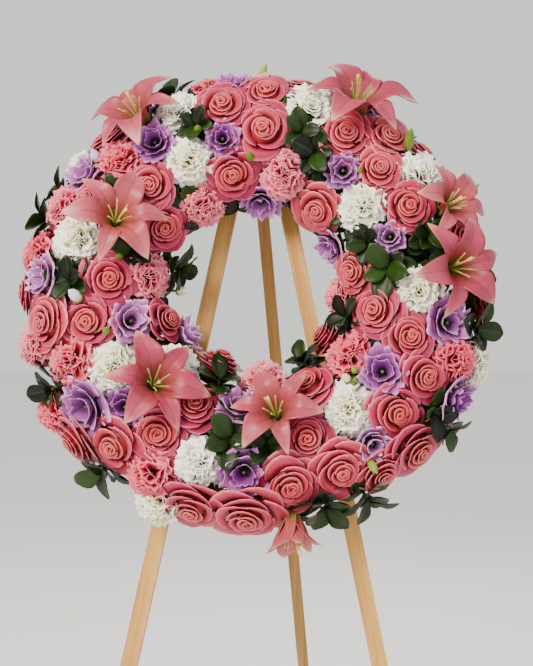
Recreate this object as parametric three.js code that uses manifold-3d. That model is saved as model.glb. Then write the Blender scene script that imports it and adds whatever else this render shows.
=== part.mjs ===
import * as THREE from 'three';
import { mergeVertices } from 'three/addons/utils/BufferGeometryUtils.js';
import Module from 'manifold-3d';

// A funeral wreath of cut flowers, standing on a three-legged pine easel.
// Millimetres, +Z up, the wreath faces -Y. Inside the leaning frame, +Y is the way through the wreath.

const wasm = await Module();
wasm.setup();

// The wreath's ring, read in photo pixels and turned into millimetres. The cover of blooms is domed over the ring,
// and a little wider below and to the left than above.
const MM_PER_PIXEL = 1.33;
const WREATH_CENTRE_PX = { x: 258, y: 304 };
const RING_RADIUS = 200;
const FLOWER_HALF_WIDTH = 112;
const WIDER_BELOW = 14;
const WIDER_LEFT = 2;
const FLOWER_DEPTH = 86;
const FACE_INSET = 4;
const ROOT_HALF_WIDTH = 66;
const ROOT_DEPTH = 44;
const EDGE_LIMIT = 0.985;

// The wet foam ring and the plastic tray that it sits in.
const FOAM_HALF_WIDTH = 46;
const FOAM_FRONT = 24;
const FOAM_BACK = 26;
const FOAM_SIDES = 28;
const TRAY_WALL = 3;
const TRAY_RISE = 16;
const SEAT_GAP = 0.3;

// The easel: two front legs splayed in one leaning plane, and a hinged rear leg.
const LEG_LENGTH = 1370;
const WREATH_BELOW_TOP = 250;
const LEAN = THREE.MathUtils.degToRad(9);
const LEG_WIDTH = 21;
const LEG_THICK = 14;
const LEG_SLOPE = 0.206;
const LEG_TOP_OFFSET = 13.1;
const LEG_OVERRUN = 60;
const BLOCK_TOP_DROP = 40;
const BLOCK_BOTTOM_DROP = 110;
const REAR_LEG_WIDTH = 16;
const REAR_LEG_DEPTH = 20;
const REAR_SPREAD = THREE.MathUtils.degToRad(26);
const REAR_SKEW = THREE.MathUtils.degToRad(4.5);
const HEEL = 22;
const BRACKET_PLATE = 2;
const BRACKET_HEIGHT = 40;
const BRACKET_REACH = 20;
const EAR_CLEARANCE = 0.5;
const HEEL_CLEARANCE = 2;
const PIN_DROP = 75;
const PIN_RADIUS = 3;
const PIN_HEAD_RADIUS = 5;
const PIN_HEAD_THICK = 2;
const PIN_CLEARANCE = 0.4;
const PIN_SIDES = 12;
const PEG_RADIUS = 5;
const PEG_REACH = 22;

// Where the blooms stand, in photo pixels: across, down and the bloom's width.
const ROSES = [
  [225, 126, 46], [260, 106, 44], [259, 149, 50], [229, 191, 46], [160, 202, 44], [103, 208, 34],
  [180, 245, 46], [117, 295, 48], [60, 328, 50], [103, 343, 46], [182, 323, 38], [203, 393, 44],
  [179, 440, 50], [132, 451, 48], [196, 502, 50], [249, 514, 56], [230, 357, 42], [299, 480, 50],
  [342, 472, 48], [318, 436, 44], [310, 383, 46], [371, 313, 46], [355, 270, 42], [404, 346, 42],
  [385, 412, 46], [419, 387, 42], [412, 444, 48], [321, 215, 46], [369, 195, 38], [334, 152, 46],
  [379, 154, 46], [396, 226, 44], [430, 150, 38], [107, 152, 50], [84, 446, 44], [461, 254, 40],
  [482, 318, 42], [297, 96, 42], [332, 82, 40], [31, 290, 36], [309, 337, 34], [391, 467, 36],
];
const WHITE_CARNATIONS = [
  [304, 131, 48], [350, 228, 48], [403, 193, 50], [190, 182, 46], [193, 121, 42], [83, 249, 48],
  [80, 156, 38], [122, 378, 50], [197, 362, 46], [350, 415, 50], [225, 467, 46], [421, 309, 46],
  [461, 374, 42], [168, 513, 34],
];
const PINK_CARNATIONS = [
  [124, 180, 46], [70, 215, 44], [45, 258, 42], [155, 284, 46], [154, 481, 48], [76, 364, 46],
  [290, 186, 48], [212, 216, 42], [268, 78, 42], [353, 359, 46], [335, 302, 42], [274, 369, 46],
  [441, 365, 40], [214, 84, 40], [62, 412, 38], [38, 348, 34],
];
const LISIANTHUS = [
  [74, 189, 36], [144, 109, 38], [163, 165, 34], [240, 86, 34], [240, 163, 30], [345, 183, 32],
  [269, 211, 38], [434, 186, 42], [403, 128, 34], [387, 262, 28], [60, 292, 40], [145, 328, 40],
  [96, 414, 46], [142, 418, 32], [243, 412, 38], [259, 474, 42], [382, 370, 42], [433, 337, 40],
  [444, 406, 38], [371, 452, 30], [325, 254, 36], [366, 95, 32], [476, 237, 34], [206, 336, 32],
];
const LILIES = [
  [163, 142, 104], [131, 244, 104], [160, 390, 104], [281, 412, 92], [348, 118, 116],
  [440, 218, 88], [440, 287, 104], [301, 512, 92],
];
const LEAF_TUFTS = [
  [32, 236, 36], [90, 282, 36], [140, 263, 26], [192, 281, 34], [235, 377, 32], [70, 388, 34],
  [236, 442, 34], [331, 504, 38], [378, 494, 34], [456, 330, 36], [421, 431, 30], [394, 290, 34],
  [313, 176, 30], [199, 98, 36], [129, 212, 24], [298, 354, 26], [345, 330, 28], [211, 145, 24],
  [100, 474, 34], [470, 286, 34], [436, 428, 30], [275, 448, 30],
  [355, 256, 22], [66, 168, 28], [416, 242, 24], [296, 155, 22],
];

// Kinds of bloom: their spots, how few branching stems they are gathered on, and their colour.
const KINDS = {
  roses: { spots: ROSES, nodes: 11, colour: 0xd9677a },
  white_carnations: { spots: WHITE_CARNATIONS, nodes: 7, colour: 0xf3f0e4 },
  pink_carnations: { spots: PINK_CARNATIONS, nodes: 6, colour: 0xee8598 },
  lisianthus: { spots: LISIANTHUS, nodes: 7, colour: 0xa883c8 },
  lily: { spots: LILIES, nodes: 7, colour: 0xdd8f96 },
  foliage: { spots: LEAF_TUFTS, nodes: 8, colour: 0x2f5527 },
};

// How the blooms settle: each pushes its neighbours off along the ring's face, and what still touches shrinks.
// A lily crowds only with its trumpet, because its petals arch over its neighbours.
const LILY_CROWD_WIDTH = 34;
const LILY_LIFT = 9;
const CROWD_FILL = 0.97;
const SETTLE_ROUNDS = 160;
const SETTLE_STEP = 0.25;

// The blooms' stems: the segments round each kind's petals, and the slim stem under them.
const SEGMENTS = { roses: 8, carnations: 8, lisianthus: 8, tuft: 9 };
const STEM_RADIUS = 3;
const STEM_HEIGHT = 5;
const STEM_SIDES = 3;
const STEM_OVERRUN = 1;
const ANCHOR_DEPTH = 12;
const HOLE_GAP = 0.4;

// The branches between the blooms of one kind, and what they keep clear of.
const BRANCH_RADIUS = 2.6;
const BRANCH_CLEAR = 6.5;
const STEM_CLEAR = 8;
const BLOOM_CLEAR = 3.6;
const BLOOM_FLARE = 1.25;
const FOAM_CLEAR = 4;
const BRANCH_REACH = 260;
const BRANCH_BENDS = [0, 12, -12, 24, -24, 36, -36, 48, -48];
const GROUP_LIMIT = 8;
const GROUP_SPAN = 245;
const LILY_CROSSING = 0.8;

// Seeded draw, so that each build places everything alike.
let seed = 20261;
function draw() {
  seed = (seed * 16807) % 2147483647;
  return seed / 2147483647;
}

function toSolid(geometry) {
  const bare = geometry.clone();
  bare.deleteAttribute('normal');
  bare.deleteAttribute('uv');
  const merged = mergeVertices(bare, 1e-4);
  return new wasm.Manifold(new wasm.Mesh({
    numProp: 3,
    vertProperties: new Float32Array(merged.attributes.position.array),
    triVerts: new Uint32Array(merged.index.array),
  }));
}

function toGeometry(solid) {
  const mesh = solid.getMesh();
  const geometry = new THREE.BufferGeometry();
  geometry.setAttribute('position', new THREE.BufferAttribute(mesh.vertProperties, 3));
  geometry.setIndex(new THREE.BufferAttribute(mesh.triVerts, 1));
  geometry.computeVertexNormals();
  return geometry;
}

function indexed(points, faces) {
  const geometry = new THREE.BufferGeometry();
  const flat = points.flatMap((point) => [point.x, point.y, point.z]);
  geometry.setAttribute('position', new THREE.Float32BufferAttribute(flat, 3));
  geometry.setIndex(faces.flat());
  return geometry;
}

function join(solids) {
  return solids.reduce((whole, solid) => whole.add(solid));
}

// A frame of axes at one point of the wreath: z runs out of the ring, x and y lie across it.
function frameAt(origin, out, spin) {
  const side = new THREE.Vector3(0, 0, 1).cross(out);
  if (side.length() < 0.1) side.set(1, 0, 0);
  side.normalize();
  const up = out.clone().cross(side).normalize();
  const x = side.clone().multiplyScalar(Math.cos(spin)).addScaledVector(up, Math.sin(spin));
  const y = out.clone().cross(x).normalize();
  return new THREE.Matrix4().makeBasis(x, y, out).setPosition(origin);
}

// Half the width of the cover of blooms in one direction from the wreath's centre.
function flowerHalfWidth(radial) {
  return FLOWER_HALF_WIDTH - WIDER_BELOW * radial.z - WIDER_LEFT * radial.x;
}

// Where a spot of the photo lies on the wreath: its foot near the foam and its face outside.
function placeSpot(spot) {
  const across = (spot.x - WREATH_CENTRE_PX.x) * MM_PER_PIXEL;
  const up = (WREATH_CENTRE_PX.y - spot.y) * MM_PER_PIXEL;
  const distance = Math.hypot(across, up);
  const radial = new THREE.Vector3(across / distance, 0, up / distance);
  const reachOut = flowerHalfWidth(radial);
  const offset = (distance - RING_RADIUS) / reachOut;
  const sideways = THREE.MathUtils.clamp(offset, -EDGE_LIMIT, EDGE_LIMIT);
  const forward = Math.sqrt(1 - sideways * sideways);
  const at = (halfWidth, depth) => radial.clone()
    .multiplyScalar(RING_RADIUS + halfWidth * sideways)
    .setY(-depth * forward);
  const face = at(reachOut - FACE_INSET, FLOWER_DEPTH);
  const foot = at(ROOT_HALF_WIDTH, ROOT_DEPTH);
  const out = face.clone().sub(foot);
  const height = out.length();
  out.normalize();
  return { ...spot, face, foot, out, height, radial };
}

// Every spot as a disc on the wreath, pushed clear of its neighbours along the ring's face.
function settleSpots() {
  const items = Object.entries(KINDS).flatMap(([kind, { spots }]) => spots.map(([x, y, width]) => ({
    kind,
    x,
    y,
    width,
    crowd: kind === 'lily' ? LILY_CROWD_WIDTH : width,
    spin: draw() * Math.PI * 2,
  })));
  const reach = (item) => item.crowd * MM_PER_PIXEL / 2;
  for (let round = 0; round < SETTLE_ROUNDS; round += 1) {
    const placed = items.map(placeSpot);
    for (let i = 0; i < items.length; i += 1) {
      for (let j = i + 1; j < items.length; j += 1) {
        const apart = placed[i].face.distanceTo(placed[j].face);
        const wanted = reach(items[i]) + reach(items[j]);
        if (apart < wanted) {
          const dx = items[j].x - items[i].x;
          const dy = items[j].y - items[i].y;
          const length = Math.hypot(dx, dy) || 1;
          const push = SETTLE_STEP * (wanted - apart) / MM_PER_PIXEL / length;
          items[i].x -= dx * push;
          items[i].y -= dy * push;
          items[j].x += dx * push;
          items[j].y += dy * push;
        }
      }
    }
    items.forEach((item) => {
      const dx = item.x - WREATH_CENTRE_PX.x;
      const dy = item.y - WREATH_CENTRE_PX.y;
      const distance = Math.hypot(dx, dy);
      const limit = EDGE_LIMIT * flowerHalfWidth({ x: dx / distance, z: -dy / distance });
      const most = (RING_RADIUS + limit) / MM_PER_PIXEL;
      const least = (RING_RADIUS - limit) / MM_PER_PIXEL;
      const kept = THREE.MathUtils.clamp(distance, least, most) / distance;
      item.x = WREATH_CENTRE_PX.x + dx * kept;
      item.y = WREATH_CENTRE_PX.y + dy * kept;
    });
  }
  return shrinkToFit(items.map(placeSpot), reach);
}

// What still touches after settling gets smaller, both neighbours alike.
function shrinkToFit(items, reach) {
  items.forEach((item) => {
    item.reach = reach(item);
  });
  items.forEach((item, i) => {
    items.slice(i + 1).forEach((other) => {
      const apart = item.face.distanceTo(other.face) * CROWD_FILL;
      const fit = apart / (item.reach + other.reach);
      if (fit < 1) {
        item.reach *= fit;
        other.reach *= fit;
      }
    });
  });
  return items;
}

// The strip of faces between two rings of points that may differ in number.
function stitch(low, lowCount, high, highCount) {
  const faces = [];
  let i = 0;
  let j = 0;
  while (i < lowCount || j < highCount) {
    const lowAt = low + i % lowCount;
    const highAt = high + j % highCount;
    if (i >= lowCount || (j < highCount && (j + 1) / highCount <= (i + 1) / lowCount)) {
      faces.push([lowAt, high + (j + 1) % highCount, highAt]);
      j += 1;
    } else {
      faces.push([lowAt, low + (i + 1) % lowCount, highAt]);
      i += 1;
    }
  }
  return faces;
}

// A closed solid of rings round the z axis on a slim three-sided stem; a ring is a function of the segment.
function ringedSolid(rings, segments, middleHeight) {
  const stem = () => ({ radius: STEM_RADIUS, height: STEM_HEIGHT });
  const points = [new THREE.Vector3(0, 0, 0)];
  const starts = [];
  const counts = [STEM_SIDES, ...rings.map(() => segments)];
  [stem, ...rings].forEach((ring, row) => {
    starts.push(points.length);
    for (let s = 0; s < counts[row]; s += 1) {
      const angle = s / counts[row] * Math.PI * 2;
      const { radius, height } = ring(s);
      points.push(new THREE.Vector3(radius * Math.cos(angle), radius * Math.sin(angle), height));
    }
  });
  points.push(new THREE.Vector3(0, 0, middleHeight));
  const last = points.length - 1;
  const faces = [];
  for (let s = 0; s < STEM_SIDES; s += 1) faces.push([0, 1 + (s + 1) % STEM_SIDES, 1 + s]);
  starts.slice(1).forEach((start, row) => {
    faces.push(...stitch(starts[row], counts[row], start, counts[row + 1]));
  });
  const top = starts[starts.length - 1];
  for (let s = 0; s < segments; s += 1) faces.push([last, top + s, top + (s + 1) % segments]);
  return indexed(points, faces);
}

// A rose: a cup of guard petals round another turn of petals and a closed heart.
function roseBloom(radius, height) {
  const lobe = (s, depth) => 1 - depth * (s % 2);
  const rings = [
    (s) => ({ radius: radius * 0.74 * lobe(s, 0.08), height: height * 0.46 }),
    (s) => ({ radius: radius * lobe(s, 0.12), height: height * (0.82 - 0.05 * (s % 2)) }),
    (s) => ({ radius: radius * 0.6 * lobe(s, 0.1), height: height * 0.74 }),
    (s) => ({ radius: radius * 0.4 * lobe(s + 1, 0.14), height: height * 1.0 }),
    () => ({ radius: radius * 0.24, height: height * 0.86 }),
  ];
  return ringedSolid(rings, SEGMENTS.roses, height * 1.04);
}

// A carnation: a slim calyx opening into a ruffled ball of fringed petals.
function carnationBloom(radius, height) {
  const fringe = (s, depth) => 1 - depth * (s % 2);
  const rings = [
    () => ({ radius: radius * 0.34, height: height * 0.36 }),
    (s) => ({ radius: radius * fringe(s, 0.14), height: height * (0.7 + 0.1 * (s % 2)) }),
    (s) => ({ radius: radius * 0.72 * fringe(s, 0.1), height: height * (0.84 - 0.08 * (s % 2)) }),
    (s) => ({ radius: radius * 0.56 * fringe(s + 1, 0.25), height: height * (1 + 0.1 * (s % 2)) }),
  ];
  return ringedSolid(rings, SEGMENTS.carnations, height * 1.06);
}

// A lisianthus: a waved bell of thin petals with an open throat.
function lisianthusBloom(radius, height) {
  const wave = (s, depth) => 1 - depth * (s % 2);
  const rings = [
    () => ({ radius: radius * 0.42, height: height * 0.4 }),
    (s) => ({ radius: radius * wave(s, 0.2), height: height * (0.86 + 0.12 * (s % 2)) }),
    (s) => ({ radius: radius * 0.62 * wave(s, 0.12), height: height * (0.76 + 0.06 * (s % 2)) }),
    (s) => ({ radius: radius * 0.46 * wave(s + 1, 0.2), height: height * 1.0 }),
  ];
  return ringedSolid(rings, SEGMENTS.lisianthus, height * 0.66);
}

// A lily: six pointed petals arching out of a slim trumpet.
const LILY_PETALS = 6;
const LILY_STEPS = 3;
function lilyBloom(radius, height) {
  const lift = height + LILY_LIFT;
  const reach = (s, tip, shoulder) => (s % LILY_STEPS === 0 ? tip : shoulder);
  const rings = [
    () => ({ radius: 8, height: height * 0.6 }),
    (s) => ({ radius: radius * reach(s, 0.55, 0.34), height: lift + radius * reach(s, 0.1, 0.05) }),
    (s) => ({ radius: radius * reach(s, 1, 0.42), height: lift + radius * reach(s, 0.15, 0.1) }),
    (s) => ({ radius: radius * reach(s, 0.6, 0.34), height: lift + radius * reach(s, 0.14, 0.11) + 2 }),
    () => ({ radius: 6, height: lift * 0.94 }),
  ];
  return ringedSolid(rings, LILY_PETALS * LILY_STEPS, lift * 0.86);
}

// A tuft: a short stem that opens into leaves, each a pointed blade.
const TUFT_STEPS = 3;
function leafTuft(radius, height) {
  const reach = (s, tip, shoulder) => (s % TUFT_STEPS === 0 ? tip : shoulder);
  const rings = [
    (s) => ({ radius: radius * reach(s, 0.62, 0.5), height: height * reach(s, 0.5, 0.62) }),
    (s) => ({ radius: radius * reach(s, 1, 0.6), height: height * reach(s, 1.02, 0.86) }),
    (s) => ({ radius: radius * reach(s, 0.56, 0.44), height: height * reach(s, 0.56, 0.68) }),
  ];
  return ringedSolid(rings, SEGMENTS.tuft, height * 0.2);
}

const BLOOM_MAKERS = {
  roses: roseBloom,
  white_carnations: carnationBloom,
  pink_carnations: carnationBloom,
  lisianthus: lisianthusBloom,
  foliage: leafTuft,
};

function makeItem(item) {
  const place = frameAt(item.foot, item.out, item.spin);
  if (item.kind === 'lily') {
    const bloom = lilyBloom(item.width * MM_PER_PIXEL / 2, item.height);
    return toSolid(bloom.applyMatrix4(place));
  }
  return toSolid(BLOOM_MAKERS[item.kind](item.reach, item.height).applyMatrix4(place));
}

// A stem through a list of points, three-sided, with both ends run on a little.
function stemTube(points, radius) {
  const ends = points.map((point) => point.clone());
  const last = ends.length - 1;
  ends[0].addScaledVector(ends[0].clone().sub(ends[1]).normalize(), STEM_OVERRUN);
  ends[last].addScaledVector(ends[last].clone().sub(ends[last - 1]).normalize(), STEM_OVERRUN);
  const runs = ends.slice(1).map((point, i) => point.clone().sub(ends[i]).normalize());
  let side = new THREE.Vector3(0.31, 0.2, 0.93).cross(runs[0]).normalize();
  const corners = [];
  ends.forEach((point, i) => {
    const before = runs[Math.max(i - 1, 0)];
    const after = runs[Math.min(i, runs.length - 1)];
    const along = before.clone().add(after).normalize();
    side = side.clone().addScaledVector(along, -side.dot(along)).normalize();
    const up = along.clone().cross(side);
    for (let s = 0; s < STEM_SIDES; s += 1) {
      const angle = s / STEM_SIDES * Math.PI * 2;
      corners.push(point.clone()
        .addScaledVector(side, radius * Math.cos(angle))
        .addScaledVector(up, radius * Math.sin(angle)));
    }
  });
  const faces = [[0, 2, 1]];
  for (let i = 0; i < last; i += 1) {
    faces.push(...stitch(i * STEM_SIDES, STEM_SIDES, (i + 1) * STEM_SIDES, STEM_SIDES));
  }
  const end = last * STEM_SIDES;
  faces.push([end, end + 1, end + 2]);
  return indexed(corners, faces);
}

// The stems of one group: one runs up out of the foam and on from foot to foot, others fork off it.
function stemPaths(root, anchor, links) {
  const paths = [];
  const used = new Set();
  const walk = (item, path) => {
    const open = links.filter((link) => !used.has(link) && (link.item === item || link.other === item));
    if (open.length === 0) {
      paths.push(path);
      return;
    }
    open.forEach((link, fork) => {
      used.add(link);
      const route = link.item === item ? link.points : [...link.points].reverse();
      const start = fork === 0 ? path : [item.foot];
      walk(link.item === item ? link.other : link.item, [...start, ...route.slice(1)]);
    });
  };
  walk(root, [anchor, root.foot]);
  return paths;
}

// The least distance between two straight stretches, sampled along the first.
const LINK_SAMPLES = 12;
function stretchDistance(a, b, c, d) {
  const other = new THREE.Line3(c, d);
  let least = Infinity;
  for (let i = 0; i <= LINK_SAMPLES; i += 1) {
    const point = a.clone().lerp(b, i / LINK_SAMPLES);
    const nearest = other.closestPointToPoint(point, true, new THREE.Vector3());
    least = Math.min(least, point.distanceTo(nearest));
  }
  return least;
}

// The nearest place to a point on the roots' level, where the blooms' feet stand.
function ontoRoots(point) {
  const distance = Math.hypot(point.x, point.z);
  const sideways = (distance - RING_RADIUS) / ROOT_HALF_WIDTH;
  const forward = -point.y / ROOT_DEPTH;
  const size = Math.hypot(sideways, forward);
  const radius = RING_RADIUS + ROOT_HALF_WIDTH * sideways / size;
  return new THREE.Vector3(point.x * radius / distance, -ROOT_DEPTH * forward / size, point.z * radius / distance);
}

// A branch between two feet: straight, or bent over the foam and aside at its middle.
function bendLink(item, other, bend) {
  const middle = item.foot.clone().add(other.foot).multiplyScalar(0.5);
  const along = other.foot.clone().sub(item.foot).normalize();
  const aside = along.cross(item.out).normalize();
  return [item.foot, ontoRoots(middle.addScaledVector(aside, bend)), other.foot];
}

function clearOfFoam(points) {
  return points.slice(1).every((end, i) => {
    for (let sample = 0; sample <= LINK_SAMPLES; sample += 1) {
      const point = points[i].clone().lerp(end, sample / LINK_SAMPLES);
      const across = (Math.hypot(point.x, point.z) - RING_RADIUS) / (FOAM_HALF_WIDTH + FOAM_CLEAR);
      const deep = Math.min(point.y, 0) / (FOAM_FRONT + FOAM_CLEAR);
      if (across * across + deep * deep < 1) return false;
    }
    return true;
  });
}

// A branch keeps off each other stem, and off the cone of each other bloom as it opens upwards.
function clearOfItem(points, item) {
  return points.slice(1).every((end, i) => {
    for (let sample = 0; sample <= LINK_SAMPLES; sample += 1) {
      const offset = points[i].clone().lerp(end, sample / LINK_SAMPLES).sub(item.foot);
      const above = offset.dot(item.out);
      const aside = offset.addScaledVector(item.out, -above).length();
      const bloom = Math.min(item.reach, Math.max(above, 0) * BLOOM_FLARE) + BLOOM_CLEAR;
      if (aside < Math.max(bloom, STEM_CLEAR)) return false;
    }
    return true;
  });
}

function clearOfLinks(points, groups, links) {
  return links.every((link) => groups.includes(link.item.group)
    || points.slice(1).every((end, i) => link.points.slice(1).every((linkEnd, j) => (
      stretchDistance(points[i], end, link.points[j], linkEnd) > BRANCH_CLEAR))));
}

// Neighbours of a kind branch from one stem where their branch stays clear of every other foot.
function branchKinds(items) {
  const links = [];
  items.forEach((item, index) => {
    const crossed = items.slice(0, index).find((other) => item.kind === 'lily' && other.kind === 'lily'
      && item.face.distanceTo(other.face) < LILY_CROSSING * MM_PER_PIXEL * (item.width + other.width) / 2);
    item.group = crossed ? crossed.group : index;
  });
  const candidates = [];
  items.forEach((item, i) => {
    items.slice(i + 1).forEach((other) => {
      const apart = item.foot.distanceTo(other.foot);
      if (item.kind === other.kind && apart < BRANCH_REACH) {
        candidates.push({ item, other, apart });
      }
    });
  });
  candidates.sort((a, b) => a.apart - b.apart);
  const groupsOf = (kind) => new Set(items.filter((item) => item.kind === kind).map((item) => item.group)).size;
  candidates.forEach(({ item, other }) => {
    const together = items.filter(({ group }) => group === item.group || group === other.group);
    const span = Math.max(...together.map((member) => member.foot.distanceTo(item.foot)),
      ...together.map((member) => member.foot.distanceTo(other.foot)));
    if (item.group === other.group || together.length > GROUP_LIMIT || span > GROUP_SPAN) return;
    if (groupsOf(item.kind) <= KINDS[item.kind].nodes) return;
    const routes = [[item.foot, other.foot], ...BRANCH_BENDS.map((bend) => bendLink(item, other, bend))];
    const route = routes.find((points) => clearOfFoam(points)
      && items.every((third) => [item.group, other.group].includes(third.group) || clearOfItem(points, third))
      && clearOfLinks(points, [item.group, other.group], links));
    if (!route) return;
    const joined = other.group;
    links.push({ item, other, points: route });
    items.filter((member) => member.group === joined).forEach((member) => {
      member.group = item.group;
    });
  });
  return links;
}

// The foam's front in one direction of the ring, where a stem goes in.
function anchorEnds(item) {
  const core = item.radial.clone().multiplyScalar(RING_RADIUS).setY(4);
  const inward = core.clone().sub(item.foot).normalize();
  const inside = foamHit(item.foot, inward).addScaledVector(inward, ANCHOR_DEPTH);
  return { end: inside, inward };
}

// Where a line from a foot meets the foam's domed outline.
const HIT_STEP = 0.5;
function foamHit(from, inward) {
  const point = from.clone();
  for (let step = 0; step < 200; step += 1) {
    const across = (Math.hypot(point.x, point.z) - RING_RADIUS) / FOAM_HALF_WIDTH;
    const deep = point.y < 0 ? point.y / FOAM_FRONT : 0;
    if (across * across + deep * deep < 1) return point;
    point.addScaledVector(inward, HIT_STEP);
  }
  return point;
}

function paint(geometry, name, colour, roughness = 0.6, metalness = 0) {
  const mesh = new THREE.Mesh(geometry, new THREE.MeshStandardMaterial({ color: colour, roughness, metalness }));
  mesh.name = name;
  return mesh;
}

function aroundRing(profile, segments) {
  const closed = [...profile, profile[0]].reverse();
  const points = closed.map(([radius, through]) => new THREE.Vector2(radius, through));
  return new THREE.LatheGeometry(points, segments);
}

// The flowers: one node for each branching stem with its blooms, and its hole in the foam.
const wreath = new THREE.Group();
const items = settleSpots();
const links = branchKinds(items);
const holes = [];
Object.entries(KINDS).forEach(([kind, { colour }]) => {
  const groups = [...new Set(items.filter((item) => item.kind === kind).map((item) => item.group))];
  groups.forEach((group, number) => {
    const members = items.filter((item) => item.group === group);
    const solids = members.map(makeItem);
    const { end, inward } = anchorEnds(members[0]);
    const branches = links.filter((link) => link.item.group === group);
    stemPaths(members[0], end, branches).forEach((path) => {
      solids.push(toSolid(stemTube(path, BRANCH_RADIUS)));
    });
    const holeEnd = end.clone().addScaledVector(inward, HOLE_GAP);
    holes.push(stemTube([holeEnd, members[0].foot], BRANCH_RADIUS + 2 * HOLE_GAP));
    wreath.add(paint(toGeometry(join(solids)), `${kind}_${number + 1}`, colour));
  });
});

// The wet foam ring: domed in front, flat behind, pricked with a plain hole for each stem.
const foamProfile = [[RING_RADIUS + FOAM_HALF_WIDTH, FOAM_BACK]];
const DOME_POINTS = 4;
for (let i = 0; i <= DOME_POINTS; i += 1) {
  const angle = i / DOME_POINTS * Math.PI;
  foamProfile.push([RING_RADIUS + FOAM_HALF_WIDTH * Math.cos(angle), -FOAM_FRONT * Math.sin(angle)]);
}
foamProfile.push([RING_RADIUS - FOAM_HALF_WIDTH, FOAM_BACK]);
const foamBlank = toSolid(aroundRing(foamProfile, FOAM_SIDES));
const foam = holes.reduce((left, hole) => left.subtract(toSolid(hole)), foamBlank);
wreath.add(paint(toGeometry(foam), 'foam_ring', 0x3c5a34, 0.95));

// The plastic tray under the foam, a channel with low walls.
const inner = RING_RADIUS - FOAM_HALF_WIDTH - SEAT_GAP;
const outer = RING_RADIUS + FOAM_HALF_WIDTH + SEAT_GAP;
const trayFloor = FOAM_BACK + SEAT_GAP;
const trayProfile = [
  [inner, trayFloor], [inner, trayFloor - TRAY_RISE], [inner - TRAY_WALL, trayFloor - TRAY_RISE],
  [inner - TRAY_WALL, trayFloor + TRAY_WALL], [outer + TRAY_WALL, trayFloor + TRAY_WALL],
  [outer + TRAY_WALL, trayFloor - TRAY_RISE], [outer, trayFloor - TRAY_RISE], [outer, trayFloor],
];
wreath.add(paint(aroundRing(trayProfile, FOAM_SIDES), 'ring_tray', 0x1f2a22, 0.5));

// The easel stands in its own leaning frame, z up along the front legs, and each leg is cut off at the floor.
const leaning = new THREE.Matrix4().makeRotationX(-LEAN);
const FLOOR_SIZE = 4000;
const legFront = trayFloor + TRAY_WALL + SEAT_GAP;
const legBack = legFront + LEG_THICK;
const pine = 0xc9a468;
const steel = 0x9a9a96;

function cutAtFloor(geometry) {
  const below = new THREE.BoxGeometry(FLOOR_SIZE, FLOOR_SIZE, FLOOR_SIZE).translate(0, 0, -FLOOR_SIZE / 2);
  return toSolid(geometry.applyMatrix4(leaning)).subtract(toSolid(below));
}

function boxBetween(low, high) {
  const size = high.map((value, axis) => value - low[axis]);
  const middle = high.map((value, axis) => (value + low[axis]) / 2);
  return new THREE.BoxGeometry(...size).translate(...middle);
}

// A round bar between two depths, square to the leaning plane.
function bar(x, z, front, back, radius) {
  return new THREE.CylinderGeometry(radius, radius, back - front, PIN_SIDES)
    .translate(0, (front + back) / 2, 0)
    .translate(x, 0, z);
}

function legOffset(z) {
  return LEG_TOP_OFFSET + (LEG_LENGTH - z) * LEG_SLOPE;
}

// Where the ring rests on a leg's peg: the peg just touches the tray's rim from below.
function pegPlace(wreathHeight) {
  const reach = outer + TRAY_WALL + PEG_RADIUS + SEAT_GAP;
  let drop = reach;
  while (Math.hypot(drop, legOffset(wreathHeight - drop)) > reach) drop -= 0.1;
  return { x: legOffset(wreathHeight - drop), z: wreathHeight - drop };
}

const easel = new THREE.Group();
const wreathHeight = LEG_LENGTH - WREATH_BELOW_TOP;
const peg = pegPlace(wreathHeight);
[['left', -1], ['right', 1]].forEach(([side, sign]) => {
  const foot = -LEG_OVERRUN;
  const half = LEG_WIDTH / 2 * Math.hypot(1, LEG_SLOPE);
  const shape = new THREE.Shape([
    new THREE.Vector2(sign * legOffset(LEG_LENGTH) - half, LEG_LENGTH),
    new THREE.Vector2(sign * legOffset(foot) - half, foot),
    new THREE.Vector2(sign * legOffset(foot) + half, foot),
    new THREE.Vector2(sign * legOffset(LEG_LENGTH) + half, LEG_LENGTH),
  ]);
  const lath = new THREE.ExtrudeGeometry(shape, { depth: LEG_THICK, bevelEnabled: false })
    .rotateX(Math.PI / 2)
    .translate(0, legBack, 0);
  const pegHole = bar(sign * peg.x, peg.z, legFront - 1, legBack + 1, PEG_RADIUS + SEAT_GAP);
  const leg = cutAtFloor(lath).subtract(toSolid(pegHole.applyMatrix4(leaning)));
  easel.add(paint(toGeometry(leg), `front_leg_${side}`, pine, 0.7));
  const dowel = bar(sign * peg.x, peg.z, legFront - PEG_REACH, legBack, PEG_RADIUS).applyMatrix4(leaning);
  easel.add(paint(dowel, `ring_peg_${side}`, pine, 0.7));
});

// The head block joins the front legs at the top and carries the rear leg's hinge.
const blockTop = LEG_LENGTH - BLOCK_TOP_DROP;
const blockBottom = LEG_LENGTH - BLOCK_BOTTOM_DROP;
const blockHalf = (z) => legOffset(z) - LEG_WIDTH / 2 * Math.hypot(1, LEG_SLOPE) - SEAT_GAP;
const blockShape = new THREE.Shape([
  new THREE.Vector2(-blockHalf(blockTop), blockTop),
  new THREE.Vector2(-blockHalf(blockBottom), blockBottom),
  new THREE.Vector2(blockHalf(blockBottom), blockBottom),
  new THREE.Vector2(blockHalf(blockTop), blockTop),
]);
const block = new THREE.ExtrudeGeometry(blockShape, { depth: LEG_THICK, bevelEnabled: false })
  .rotateX(Math.PI / 2)
  .translate(0, legBack, 0);
easel.add(paint(block.applyMatrix4(leaning), 'head_block', pine, 0.7));

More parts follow.
